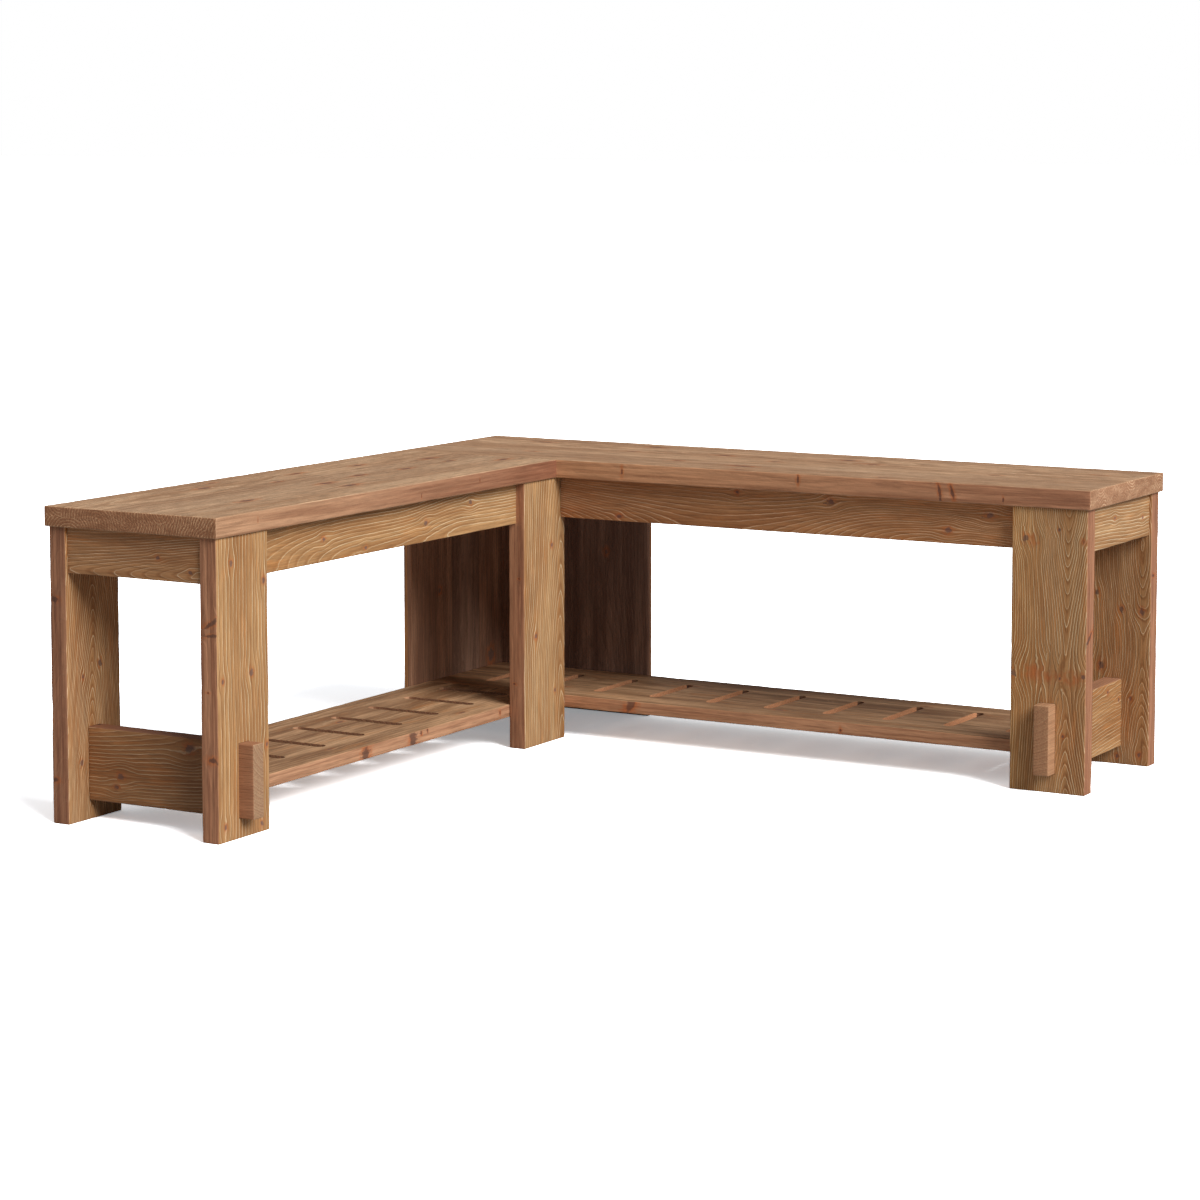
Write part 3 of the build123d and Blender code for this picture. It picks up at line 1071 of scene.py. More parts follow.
    def build(self) -> bpy.types.Object:
        """Makes the board as an object at the origin."""
        return placed(f"{self.node}_board", self.mesh())

    def dress(self, piece: bpy.types.Object, materials: Finishes) -> None:
        """Gives the board its marks, its finish and its place in the frame.

        Args:
            piece: the board's object.
            materials: the finishes by slot.
        """
        mesh = piece.data
        self.mark(mesh)
        mesh.materials.clear()
        mesh.materials.append(materials[self.finish])
        smoothed(mesh, self.crease)
        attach(piece, BODY)
        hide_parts(self.node)
        log.info("%s: %d faces", piece.name, len(mesh.polygons))


def baked(piece: bpy.types.Object) -> None:
    """Turns a piece's modifiers into plain mesh.

    Args:
        piece: the object, whose modifiers are removed.
    """
    graph = bpy.context.evaluated_depsgraph_get()
    mesh = bpy.data.meshes.new_from_object(piece.evaluated_get(graph))
    piece.modifiers.clear()
    old = piece.data
    piece.data = mesh
    bpy.data.meshes.remove(old)


class TreeBook:
    """Builds one Geometry Nodes tree with named inputs."""

    def __init__(self, name: str) -> None:
        """Starts with a geometry input and a geometry output.

        Args:
            name: the tree's name.
        """
        self.tree = bpy.data.node_groups.new(name, "GeometryNodeTree")
        self.tree.interface.new_socket("Geometry", in_out="INPUT", socket_type="NodeSocketGeometry")
        self.tree.interface.new_socket("Geometry", in_out="OUTPUT", socket_type="NodeSocketGeometry")
        self.entry = self.tree.nodes.new("NodeGroupInput")
        self.keys: Dict[str, str] = {}

    def ask(self, name: str, kind: str) -> None:
        """Adds a named input.

        Args:
            name: its name.
            kind: its socket type.
        """
        item = self.tree.interface.new_socket(name, in_out="INPUT", socket_type=kind)
        self.keys[name] = item.identifier

    def given(self, name: str) -> bpy.types.NodeSocket:
        """The value of a named input."""
        return self.entry.outputs[name]

    def add(self, kind: str, settings: Dict[str, Any], inputs: Dict[Any, Any], output: Any = 0) -> Any:
        """Adds a node.

        Args:
            kind: the node's type.
            settings: its properties, which are set first.
            inputs: values, sockets or lists of sockets by socket name or number.
            output: the output socket's number or name.

        Returns:
            The output socket.
        """
        node = self.tree.nodes.new(kind)
        for key, value in settings.items():
            setattr(node, key, value)
        for key, value in inputs.items():
            for one in value if isinstance(value, list) else [value]:
                if isinstance(one, bpy.types.NodeSocket):
                    self.tree.links.new(one, node.inputs[key])
                else:
                    node.inputs[key].default_value = one
        return node.outputs[output]

    def close(self, geometry: bpy.types.NodeSocket) -> None:
        """Ends the tree: instances made real, and the finish set.

        Args:
            geometry: what the tree has made.
        """
        real = self.add("GeometryNodeRealizeInstances", {}, {0: geometry})
        finish = self.given("Finish")
        dressed = self.add("GeometryNodeSetMaterial", {}, {"Geometry": real, "Material": finish})
        node = self.tree.nodes.new("NodeGroupOutput")
        self.tree.links.new(dressed, node.inputs[0])

    def put_on(self, piece: bpy.types.Object, values: Dict[str, Any]) -> None:
        """Puts the tree on an object and turns the result into plain mesh.

        Args:
            piece: the object.
            values: the inputs by name.
        """
        modifier = piece.modifiers.new(self.tree.name, "NODES")
        modifier.node_group = self.tree
        for name, value in values.items():
            modifier[self.keys[name]] = value
        baked(piece)


def cutting_tree() -> TreeBook:
    """A tree that cuts a row of openings with rounded corners through a board.

    Returns:
        The tree.
    """
    book = TreeBook("opening_row")
    for name in ("Length", "Width", "Corner", "Depth"):
        book.ask(name, "NodeSocketFloat")
    book.ask("Count", "NodeSocketInt")
    for name in ("Turn", "First", "Step"):
        book.ask(name, "NodeSocketVector")
    book.ask("Finish", "NodeSocketMaterial")
    outline = book.add(
        "GeometryNodeCurvePrimitiveQuadrilateral",
        {"mode": "RECTANGLE"},
        {"Width": book.given("Length"), "Height": book.given("Width")},
    )
    rounded = book.add(
        "GeometryNodeFilletCurve",
        {"mode": "POLY"},
        {"Curve": outline, "Radius": book.given("Corner"), "Count": 9, "Limit Radius": True},
    )
    base = book.add("GeometryNodeFillCurve", {"mode": "NGONS"}, {0: rounded})
    half = book.add("ShaderNodeMath", {"operation": "MULTIPLY"}, {0: book.given("Depth"), 1: -0.5})
    sink = book.add("ShaderNodeCombineXYZ", {}, {2: half})
    base = book.add("GeometryNodeSetPosition", {}, {"Geometry": base, "Offset": sink})
    rise = book.add("ShaderNodeCombineXYZ", {}, {2: book.given("Depth")})
    wall = book.add(
        "GeometryNodeExtrudeMesh",
        {"mode": "FACES"},
        {"Mesh": base, "Offset": rise, "Offset Scale": 1.0, "Individual": False},
    )
    under = book.add("GeometryNodeFlipFaces", {}, {0: base})
    shell = book.add("GeometryNodeJoinGeometry", {}, {0: [wall, under]})
    cutter = book.add("GeometryNodeMergeByDistance", {}, {"Geometry": shell, "Distance": 0.01 * MM})
    row = book.add(
        "GeometryNodeMeshLine",
        {"mode": "OFFSET"},
        {"Count": book.given("Count"), "Start Location": book.given("First"), "Offset": book.given("Step")},
    )
    cutters = book.add(
        "GeometryNodeInstanceOnPoints",
        {},
        {"Points": row, "Instance": cutter, "Rotation": book.given("Turn")},
    )
    real = book.add("GeometryNodeRealizeInstances", {}, {0: cutters})
    cut = book.add(
        "GeometryNodeMeshBoolean",
        {"operation": "DIFFERENCE", "solver": "EXACT"},
        {"Mesh 1": book.given("Geometry"), "Mesh 2": real},
    )
    book.close(cut)
    return book


def screw_tree() -> TreeBook:
    """A tree that sets a countersunk cross-head screw at each point, its head along the point's aim.

    Returns:
        The tree.
    """
    head_sides, shank_sides = 28, 16
    blade_length, blade_width = 0.62, 0.16
    shank_start = -0.9
    book = TreeBook("screw_set")
    for name in ("Head width", "Head height", "Shank width", "Length", "Recess"):
        book.ask(name, "NodeSocketFloat")
    book.ask("Finish", "NodeSocketMaterial")

    def scaled(name: str, factor: float) -> bpy.types.NodeSocket:
        """A named input times a number."""
        return book.add("ShaderNodeMath", {"operation": "MULTIPLY"}, {0: book.given(name), 1: factor})

    def moved(mesh: bpy.types.NodeSocket, height: bpy.types.NodeSocket) -> bpy.types.NodeSocket:
        """A mesh raised by a height."""
        offset = book.add("ShaderNodeCombineXYZ", {}, {2: height})
        return book.add("GeometryNodeSetPosition", {}, {"Geometry": mesh, "Offset": offset})

    head = book.add(
        "GeometryNodeMeshCone",
        {"fill_type": "NGON"},
        {
            "Vertices": head_sides,
            "Radius Top": scaled("Head width", 0.5),
            "Radius Bottom": scaled("Shank width", 0.5),
            "Depth": book.given("Head height"),
        },
    )
    head = moved(head, scaled("Head height", -1.0))
    blades = []
    for first, second in ((blade_length, blade_width), (blade_width, blade_length)):
        size = book.add(
            "ShaderNodeCombineXYZ",
            {},
            {0: scaled("Head width", first), 1: scaled("Head width", second), 2: book.given("Recess")},
        )
        blades.append(book.add("GeometryNodeMeshCube", {}, {"Size": size}))
    cut = book.add(
        "GeometryNodeMeshBoolean",
        {"operation": "DIFFERENCE", "solver": "EXACT"},
        {"Mesh 1": head, "Mesh 2": blades},
    )
    shank = book.add(
        "GeometryNodeMeshCylinder",
        {"fill_type": "NGON"},
        {"Vertices": shank_sides, "Radius": scaled("Shank width", 0.5), "Depth": book.given("Length")},
    )
    shank = moved(shank, scaled("Length", -0.5))
    sunk = moved(shank, scaled("Head height", shank_start))
    screw = book.add("GeometryNodeJoinGeometry", {}, {0: [cut, sunk]})
    aim = book.add("GeometryNodeInputNamedAttribute", {"data_type": "FLOAT_VECTOR"}, {"Name": "aim"})
    turn = book.add("FunctionNodeAlignRotationToVector", {"axis": "Z"}, {"Vector": aim})
    screws = book.add(
        "GeometryNodeInstanceOnPoints",
        {},
        {"Points": book.given("Geometry"), "Instance": screw, "Rotation": turn},
    )
    book.close(screws)
    return book


@dataclass
class CornerSeat:
    """The two seat boards: the right one runs through the corner and the left one butts it."""

    finish: str = "seat_wood"
    ease: float = 2.0 * MM

    def build(self, materials: Finishes) -> None:
        """Builds and dresses both boards.

        Args:
            materials: the finishes by slot.
        """
        right = Plank("seat_right", self.finish, 3, self.ease, pith=(0.05, -0.075), taper=0.03)
        right.knots = knots((-266, 104, 6), (-268, 26), (-100, 41, 6), (-1, -93, 7), (-130, -68))
        right.knots += knots((106, 70, 7), (165, 34, 6), (15, -7), (-469, 87, 6), (-411, -56))
        right.knots += knots((266, -135), (539, 63), (13, -140), (400, -20))
        right.knots += knots((366, 0, 18, 1, 0.55, -0.17), (387, 0, 17, 1, 0.65, -0.25), cut=Cut.EDGE)
        right.knots += knots((127, 6, 9), (-186, 2, 8), (470, -6, 4), cut=Cut.EDGE)
        right.end_stain_and_painted_light = (1.20, 1.24, 1.32)
        # Painted bounce light: the right board's edges are lightened most near the inner corner
        right.edge_stain_and_painted_light = ((1.44, 1.52, 1.40), (1.05, 0.96, 0.95))
        left = Plank("seat_left", self.finish, 8, self.ease, pith=(-0.07, -0.060), taper=-0.02)
        left.knots = knots((-165, -89, 6), (-103, -119), (-265, 63, 7), (-17, 31, 7), (-18, 77, 7))
        left.knots += knots((72, -87, 6), (224, -75, 6), (101, 10, 6), (-35, -45), (372, -36, 6))
        left.knots += knots((355, 14), (219, 20, 6), (415, 77, 6))
        left.knots += knots((226, 3, 3), (-360, 2, 3), (60, -6, 3), cut=Cut.EDGE)
        left.stain_and_painted_light = (1.05, 1.08, 1.09)
        left.end_stain_and_painted_light = (0.98, 0.87, 0.83)
        # The left board's edges darken towards the inner corner
        left.edge_stain_and_painted_light = ((1.03, 1.12, 1.14), (0.56, 0.44, 0.42))
        left.sharp = ((1, Side.HIGH),)
        for board in (right, left):
            board.dress(board.build(), materials)


@dataclass
class PlankLegs:
    """The five plank legs, with the stretchers' mortises cut through the four at the ends."""

    finish: str = "leg_wood"
    wobble: float = 0.75 * MM
    mortise_fit: float = 0.3 * MM
    mortise_corner: float = 0.4 * MM

    def boards(self) -> List[Plank]:
        """The legs as boards, each with its own grain.

        Returns:
            The boards.
        """
        left_front = Plank("leg_left_front", self.finish, 11, pith=(-0.14, -0.05), taper=0.03)
        left_front.knots = knots((177, -26), (144, 51, 5), (17, 20, 5), (13, -48))
        left_front.knots += knots((-91, 55), (-193, -45), (-202, 41))
        left_front.knots += knots((94, 3, 14, 1, 0.6, 0.5), (78, 3, 13, 0.9, 0.35, 0.1), cut=Cut.EDGE)
        left_front.knots += knots((-97, 5, 9), (-2, -2, 3), cut=Cut.EDGE)
        left_front.pace = 0.50
        left_front.stain_and_painted_light = (0.99, 1.08, 1.15)
        left_front.edge_stain_and_painted_light = even((1.19, 1.10, 1.03))
        left_back = Plank("leg_left_back", self.finish, 12, pith=(-0.004, 0.008), taper=0.19)
        left_back.knots = knots((10, 14), (-5, -25, 3), (-129, -30))
        left_back.knots += knots((110, -6, 8), (-151, -9, 7), cut=Cut.EDGE)
        left_back.edge_stain_and_painted_light = even((0.91, 0.89, 0.89))
        right_front = Plank("leg_right_front", self.finish, 13, pith=(0.032, -0.009))
        right_front.swell = (-0.030, 0.700, 0.023)
        right_front.side_tint = (1.24, 1.21, 1.07)
        right_front.knots = knots((-38, -56, 4), (-32, -31, 4), (-39, -10, 2.5), (-40, 18, 3.5))
        right_front.knots += knots((-35, 56, 4))
        right_front.knots += knots((-34, -21, 12, 0, 0.6), (-38, 4, 11, 0, 0.5), (-39, 36, 12, 0, 0.5))
        right_front.knots += knots((165, -26, 7, 0, 0.7))
        right_front.knots += knots((167, -38, 5), (182, 15, 2.5), (167, 54, 3, 0.4), (-127, 25, 2.5))
        right_front.knots += knots((24, 0, 13, 1, 0.7, 0.8), cut=Cut.EDGE)
        right_back = Plank("leg_right_back", self.finish, 18, pith=(0.046, -0.008))
        right_back.swell = (-0.035, 0.330, 0.012)
        right_back.side_tint = (1.16, 1.13, 1.05)
        right_back.knots = knots((30, 13), (28, 46, 5), (54, -28), (-109, 30, 3))
        right_back.knots += knots((-202, 9), (-197, 45), (-60, -20, 6))
        right_back.knots += knots((85, -4, 6), cut=Cut.EDGE)
        right_back.stain_and_painted_light = (0.93, 0.92, 0.93)
        inner = Plank("leg_inner_corner", self.finish, 15, pith=(0.054, 0.004), taper=0.14)
        inner.knots = knots((-36, -28, 5), (106, 22), (-132, 31, 3))
        inner.knots += knots((60, 4, 3), (-110, -5, 3), cut=Cut.EDGE)
        inner.pace = 0.62
        inner.stain_and_painted_light = (0.95, 1.05, 1.12)
        inner.edge_stain_and_painted_light = even((1.16, 1.06, 0.97))
        return [left_front, left_back, right_front, right_back, inner]

    def build(self, tree: TreeBook, materials: Finishes) -> None:
        """Builds and dresses the legs.

        Args:
            tree: the tree that cuts openings.
            materials: the finishes by slot.
        """
        for board in self.boards():
            board.wobble = self.wobble
            piece = board.build()
            if board.node != "leg_inner_corner":
                self.cut_mortise(tree, board, piece, materials[self.finish])
            board.dress(piece, materials)

    def cut_mortise(
        self,
        tree: TreeBook,
        board: Plank,
        piece: bpy.types.Object,
        finish: bpy.types.Material,
    ) -> None:
        """Cuts the mortise where the stretcher's tenon goes through.

        Args:
            tree: the tree that cuts openings.
            board: the leg's board.
            piece: the leg's object.
            finish: the leg's finish.
        """
        wing = Wing.LEFT if "left" in board.node else Wing.RIGHT
        low, high = (np.array(corner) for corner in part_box(f"stretcher_{wing.value}"))
        axis = board.width_axis
        middle = (low + high) / 2
        middle[board.thin_axis] = (board.low + board.high)[board.thin_axis] / 2
        width = high[axis] - low[axis] - 2 * TENON_SHOULDER + 2 * self.mortise_fit
        height = high[2] - low[2] + 2 * self.mortise_fit
        upright = (math.pi / 2, 0.0, 0.0) if wing is Wing.RIGHT else (math.pi / 2, 0.0, math.pi / 2)
        values = {
            "Length": float(width),
            "Width": float(height),
            "Corner": self.mortise_corner,
            "Depth": float((board.high - board.low)[board.thin_axis] + OVERCUT),
            "Count": 1,
            "Turn": upright,
            "First": tuple(float(value) for value in middle),
            "Step": (0.0, 0.0, 0.0),
            "Finish": finish,
        }
        tree.put_on(piece, values)


@dataclass
class Aprons:
    """The aprons under the seat, long ones along the wings and short ones at the ends."""

    finish: str = "apron_wood"
    ease: float = 1.2 * MM
    wobble: float = 0.35 * MM

    def boards(self) -> List[Plank]:
        """The aprons as boards, each with its own grain.

        Returns:
            The boards.
        """
        left_front = Plank("apron_left_front", self.finish, 21, pith=(-0.034, -0.022), taper=-0.06)
        left_front.knots = knots((-188, 1), (85, -4), (213, 15), (-79, -24, 3))
        left_front.stain_and_painted_light = (1.0, 1.11, 1.20)
        left_back = Plank("apron_left_back", self.finish, 22, pith=(0.04, 0.03), taper=0.02)
        left_back.knots = knots((-150, 8), (120, -10), (260, 14, 3))
        left_end = Plank("apron_left_end", self.finish, 23, pith=(-0.022, 0.008), taper=-0.12)
        left_end.knots = knots((43, -1, 3), (98, -18, 3))
        left_end.stain_and_painted_light = (0.90, 0.87, 0.93)
        right_front = Plank("apron_right_front", self.finish, 24, pith=(-0.040, 0.012))
        right_front.swell = (-0.10, 0.80, 0.030)
        right_front.knots = knots((-75, 26), (89, 20, 5), (286, -12, 5), (355, 14, 5), (-288, -25))
        right_front.stain_and_painted_light = (1.0, 0.93, 0.96)
        # Painted shadow and light: painted_face_light darkens the apron towards the inner corner, under the
        # seat, and lightens it towards the right end
        right_front.painted_face_light = ((0.86, 0.87, 0.93), (1.22, 1.20, 1.18))
        right_back = Plank("apron_right_back", self.finish, 25, pith=(0.05, -0.03), taper=0.02)
        right_back.knots = knots((-220, -6), (40, 12), (310, -14, 3))
        right_end = Plank("apron_right_end", self.finish, 26, pith=(-0.075, -0.03), taper=0.03)
        right_end.knots = knots((-27, 9, 3), (90, -2, 3))
        right_end.stain_and_painted_light = (1.06, 1.20, 1.36)
        return [left_front, left_back, left_end, right_front, right_back, right_end]

    def build(self, materials: Finishes) -> None:
        """Builds and dresses the aprons.

        Args:
            materials: the finishes by slot.
        """
        for board in self.boards():
            board.ease = self.ease
            board.wobble = self.wobble
            board.dress(board.build(), materials)


@dataclass
class Stretchers:
    """The low end rails, whose through tenons stand out of the front legs."""

    finish: str = "stretcher_wood"
    ease: float = 1.8 * MM
    sunk: float = 6.0 * MM

    def boards(self) -> Dict[Wing, Plank]:
        """The stretchers as whole boards, each with its own grain.

        Returns:
            The boards by wing.
        """
        left = Plank("stretcher_left", self.finish, 31, pith=(0.085, 0.045), taper=0.05)
        left.knots = knots((51, 39, 7), (-72, -14, 5), (-80, -30, 4))
        left.pace = 1.2
        # Painted shade: the rail sits back between the legs, so its stain is darkened, and
        # painted_face_light is the front leg's painted shadow, darkening the rail towards that leg
        left.stain_and_painted_light = (0.71, 0.67, 0.68)
        left.painted_face_light = ((1.12, 1.11, 1.08), (0.86, 0.90, 0.98))
        left.tip_stain = (0.92, 0.94, 0.93)
        left.end_stain_and_painted_light = (1.13, 1.29, 1.42)
        right = Plank("stretcher_right", self.finish, 32, pith=(0.085, -0.045), taper=0.05)
        right.knots = knots((72, 40), (119, 21, 3))
        right.pace = 1.05
        right.stain_and_painted_light = (0.93, 0.97, 1.0)
        right.tip_stain = (1.12, 1.32, 1.32)
        right.end_stain_and_painted_light = (1.11, 0.94, 0.92)
        return {Wing.LEFT: left, Wing.RIGHT: right}

    def build(self, materials: Finishes) -> None:
        """Builds and dresses both stretchers.

        Args:
            materials: the finishes by slot.
        """
        for wing, whole in self.boards().items():
            whole.dress(self.rail_and_tenons(wing, whole), materials)

    def rail_and_tenons(self, wing: Wing, whole: Plank) -> bpy.types.Object:
        """Builds one stretcher as a rail and two tenons in one mesh.

        Args:
            wing: which wing.
            whole: the stretcher as a whole board, which is told where its tips begin.

        Returns:
            The object.
        """
        axis = whole.grain_axis
        legs = [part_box(f"leg_{wing.value}_{place}") for place in ("back", "front")]
        faces = sorted(corner[axis] for box in legs for corner in box)
        rail_low, rail_high = faces[1], faces[2]
        middle = (whole.low[axis] + whole.high[axis]) / 2
        whole.plain_past = (rail_low - middle, rail_high - middle)
        spans = [(rail_low, rail_high, 0.0), (whole.low[axis], rail_low + self.sunk, TENON_SHOULDER)]
        spans.append((rail_high - self.sunk, whole.high[axis], TENON_SHOULDER))
        shell = bmesh.new()
        for low, high, inset in spans:
            part = Plank(whole.node, self.finish, whole.seed, self.ease)
            part.low[axis], part.high[axis] = low, high
            part.low[whole.thin_axis] += inset
            part.high[whole.thin_axis] -= inset
            part.thin_axis, part.width_axis, part.grain_axis = whole.thin_axis, whole.width_axis, axis
            shell.from_mesh(part.mesh())
        mesh = bpy.data.meshes.new(whole.node)
        shell.to_mesh(mesh)
        shell.free()
        return placed(f"{whole.node}_board", mesh)


@dataclass
class Shelves:
    """The slotted shoe shelves."""

    finish: str = "shelf_wood"
    ease: float = 1.5 * MM
    slot_length: float = 130.0 * MM
    slot_width: float = 18.0 * MM
    slot_pitch: float = 104.3 * MM
    right_margin: float = 80.5 * MM
    left_margin: float = 92.0 * MM
    inner_margin: float = 35.0 * MM
    rim: float = 1.2 * MM
    rim_steps: int = 3
    rim_crease: float = 60.0

    def build(self, tree: TreeBook, materials: Finishes) -> None:
        """Builds and dresses both shelves.

        Args:
            tree: the tree that cuts openings.
            materials: the finishes by slot.
        """
        right = Plank("shelf_right", self.finish, 41, self.ease, pith=(0.03, -0.07), taper=0.02)
        right.knots = knots((-150, 60), (80, -70), (270, 75, 3), (-330, -50))
        right.knots += knots((-165, 2, 14, 0.9, 1, 0.6), (210, -3, 4), cut=Cut.EDGE)
        # Painted light and shade: the right board's end grain, mostly its lit slot walls, is lightened as
        # painted light, and the slots' rounded ends are darkened as painted shade
        right.end_stain_and_painted_light = (2.1, 2.1, 2.0)
        right.slot_painted_shade = 0.30
        right.edge_stain_and_painted_light = even((1.14, 1.07, 1.02))
        left = Plank("shelf_left", self.finish, 46, self.ease, pith=(-0.05, -0.06), taper=0.02)
        left.knots = knots((374, -47), (46, -30), (-150, 85, 3), (210, 90))
        left.knots += knots((26, 1, 15), (-102, -2, 16), (50, 5, 5), (68, 7, 4), (280, 1, 4), cut=Cut.EDGE)
        left.sharp = ((1, Side.HIGH),)
        for wing, board in ((Wing.RIGHT, right), (Wing.LEFT, left)):
            piece = board.build()
            self.cut(tree, wing, board, piece, materials[self.finish])
            board.dress(piece, materials)

    def cut(
        self,
        tree: TreeBook,
        wing: Wing,
        board: Plank,
        piece: bpy.types.Object,
        finish: bpy.types.Material,
    ) -> None:
        """Cuts the row of slots, set out from the stretcher inwards.

        Args:
            tree: the tree that cuts them.
            wing: which wing.
            board: the shelf's board.
            piece: the shelf's object.
            finish: the shelf's finish.
        """
        axis = board.grain_axis
        inwards = -1.0 if wing is Wing.RIGHT else 1.0
        margin = self.right_margin if wing is Wing.RIGHT else self.left_margin
        start = board.high[axis] if wing is Wing.RIGHT else board.low[axis]
        room = board.high[axis] - board.low[axis] - margin - self.inner_margin
        first = (board.low + board.high) / 2
        first[axis] = start + inwards * margin
        step = np.zeros(3)
        step[axis] = inwards * self.slot_pitch
        nearly_half = 0.4999
        values = {
            "Length": self.slot_length,
            "Width": self.slot_width,
            "Corner": self.slot_width * nearly_half,
            "Depth": float((board.high - board.low)[2] + OVERCUT),
            "Turn": (0.0, 0.0, math.pi / 2 if wing is Wing.RIGHT else 0.0),
            "Count": int(room // self.slot_pitch) + 1,
            "First": tuple(float(value) for value in first),
            "Step": tuple(float(value) for value in step),
            "Finish": finish,
        }
        tree.put_on(piece, values)
        bevel = piece.modifiers.new("rim", "BEVEL")
        bevel.width = self.rim
        bevel.segments = self.rim_steps
        bevel.limit_method = "ANGLE"
        bevel.angle_limit = math.radians(self.rim_crease)
        baked(piece)


@dataclass
class CornerPanels:
    """The two upright boards that close the back corner."""

    finish: str = "panel_wood"
    ease: float = 1.0 * MM
    wobble: float = 0.25 * MM
    # The panel finish is darkened as painted shade of the back corner; each panel's back half is lifted out
    # of it by this much
    back_lift_from_painted_shade: Colour = (1.50, 1.50, 1.15)

    def build(self, materials: Finishes) -> None:
        """Builds and dresses both panels.

        Args:
            materials: the finishes by slot.
        """
        right = Plank("corner_panel_right", self.finish, 51, pith=(0.03, 0.09))
        right.knots = knots((60, 70, 5), (-120, -40), (150, -90, 3))
        right.stain_and_painted_light = (0.87, 0.97, 1.12)
        right.painted_shade_lift = (Side.HIGH, self.back_lift_from_painted_shade)
        left = Plank("corner_panel_left", self.finish, 53, pith=(0.03, -0.09))
        left.knots = knots((-130, 106, 11), (4, -55, 5), (130, 20, 4))
        left.stain_and_painted_light = (1.10, 1.22, 1.32)
        left.painted_shade_lift = (Side.LOW, self.back_lift_from_painted_shade)
        for board in (right, left):
            board.ease = self.ease
            board.wobble = self.wobble
            board.dress(board.build(), materials)


@dataclass
class Battens:
    """The battens that carry the shelf and hold the seat."""

    finish: str = "batten_wood"
    ease: float = 0.9 * MM
    wobble: float = 0.2 * MM
    first_seed: int = 61
    first_knot: float = 60.0
    knot_step: float = -23.0
    nodes: Tuple[str, ...] = (
        "seat_cleat_left_front",
        "seat_cleat_left_back",
        "seat_cleat_right_front",
        "seat_cleat_right_back",
        "shelf_cleat_left_end",
        "shelf_cleat_right_end",
        "shelf_cleat_corner_left",
        "shelf_cleat_corner_right",
    )

    def build(self, materials: Finishes) -> None:
        """Builds and dresses the battens.

        Args:
            materials: the finishes by slot.
        """
        for number, node in enumerate(self.nodes):
            board = Plank(node, self.finish, self.first_seed + number, self.ease, pith=(0.05, 0.03))
            board.wobble = self.wobble
            board.knots = knots((self.first_knot + self.knot_step * number, 3, 3))
            board.dress(board.build(), materials)


@dataclass
class ScrewSets:
    """The screws of the battens and the corner panels, set where the CAD has them."""

    finish: str = "screw_steel"
    nodes: Tuple[str, ...] = ("seat_cleat_screws", "shelf_cleat_screws", "corner_panel_screws")
    head_width: float = 8.0 * MM
    head_height: float = 2.5 * MM
    shank_width: float = 3.9 * MM
    recess: float = 2.6 * MM
    tip_depth: float = 0.1 * MM
    weld: float = 0.001 * MM
    crease: float = 35.0

    def build(self, materials: Finishes) -> None:
        """Builds and dresses each set.

        Args:
            materials: the finishes by slot.
        """
        tree = screw_tree()
        for node in self.nodes:
            places, aims, length = self.stations(node)
            mesh = bpy.data.meshes.new(node)
            mesh.from_pydata(places, [], [])
            layer = mesh.attributes.new("aim", "FLOAT_VECTOR", "POINT")
            layer.data.foreach_set("vector", np.array(aims, dtype=np.float32).ravel())
            piece = placed(f"{node}_set", mesh)
            values = {
                "Head width": self.head_width,
                "Head height": self.head_height,
                "Shank width": self.shank_width,
                "Length": length - self.head_height,
                "Recess": self.recess,
                "Finish": materials[self.finish],
            }
            tree.put_on(piece, values)
            smoothed(piece.data, self.crease)
            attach(piece, BODY)
            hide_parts(node)
            log.info("%s: %d screws, %d faces", piece.name, len(places), len(piece.data.polygons))

    def stations(self, node: str) -> Tuple[List[Point], List[Point], float]:
        """Where the CAD's screws have their heads, and which way the heads face.

        Args:
            node: the screws' CAD node.

        Returns:
            The middles of the heads' faces, the directions that they face, and the screws' length.
        """
        places, aims, length = [], [], 0.0
        for points in self.islands(frame["nodes"][node]):
            low, high = points.min(axis=0), points.max(axis=0)
            axis = int((high - low).argmax())
            heights = points[:, axis]
            tip_widths = []
            for end in (low[axis], high[axis]):
                tip = points[np.abs(heights - end) < self.tip_depth]
                tip_widths.append(np.ptp(tip, axis=0).max())
            top = bool(tip_widths[1] > tip_widths[0])
            middle = (low + high) / 2
            middle[axis] = high[axis] if top else low[axis]
            aim = np.zeros(3)
            aim[axis] = 1.0 if top else -1.0
            places.append(tuple(float(value) for value in middle))
            aims.append(tuple(aim))
            length = max(length, float((high - low)[axis]))
        return places, aims, length

    def islands(self, source: bpy.types.Object) -> List[np.ndarray]:
        """The separate screws of a CAD node.

        Args:
            source: the node's object.

        Returns:
            The points of each screw in the scene, one to a row.
        """
        shell = bmesh.new()
        shell.from_mesh(source.data)
        bmesh.ops.remove_doubles(shell, verts=shell.verts, dist=self.weld)
        groups = []
        found = set()
        for start in shell.verts:
            if start in found:
                continue
            found.add(start)
            stack = [start]
            group = []
            while stack:
                vertex = stack.pop()
                group.append(source.matrix_world @ vertex.co)
                for edge in vertex.link_edges:
                    other = edge.other_vert(vertex)
                    if other not in found:
                        found.add(other)
                        stack.append(other)
            groups.append(np.array(group))
        shell.free()
        return groups


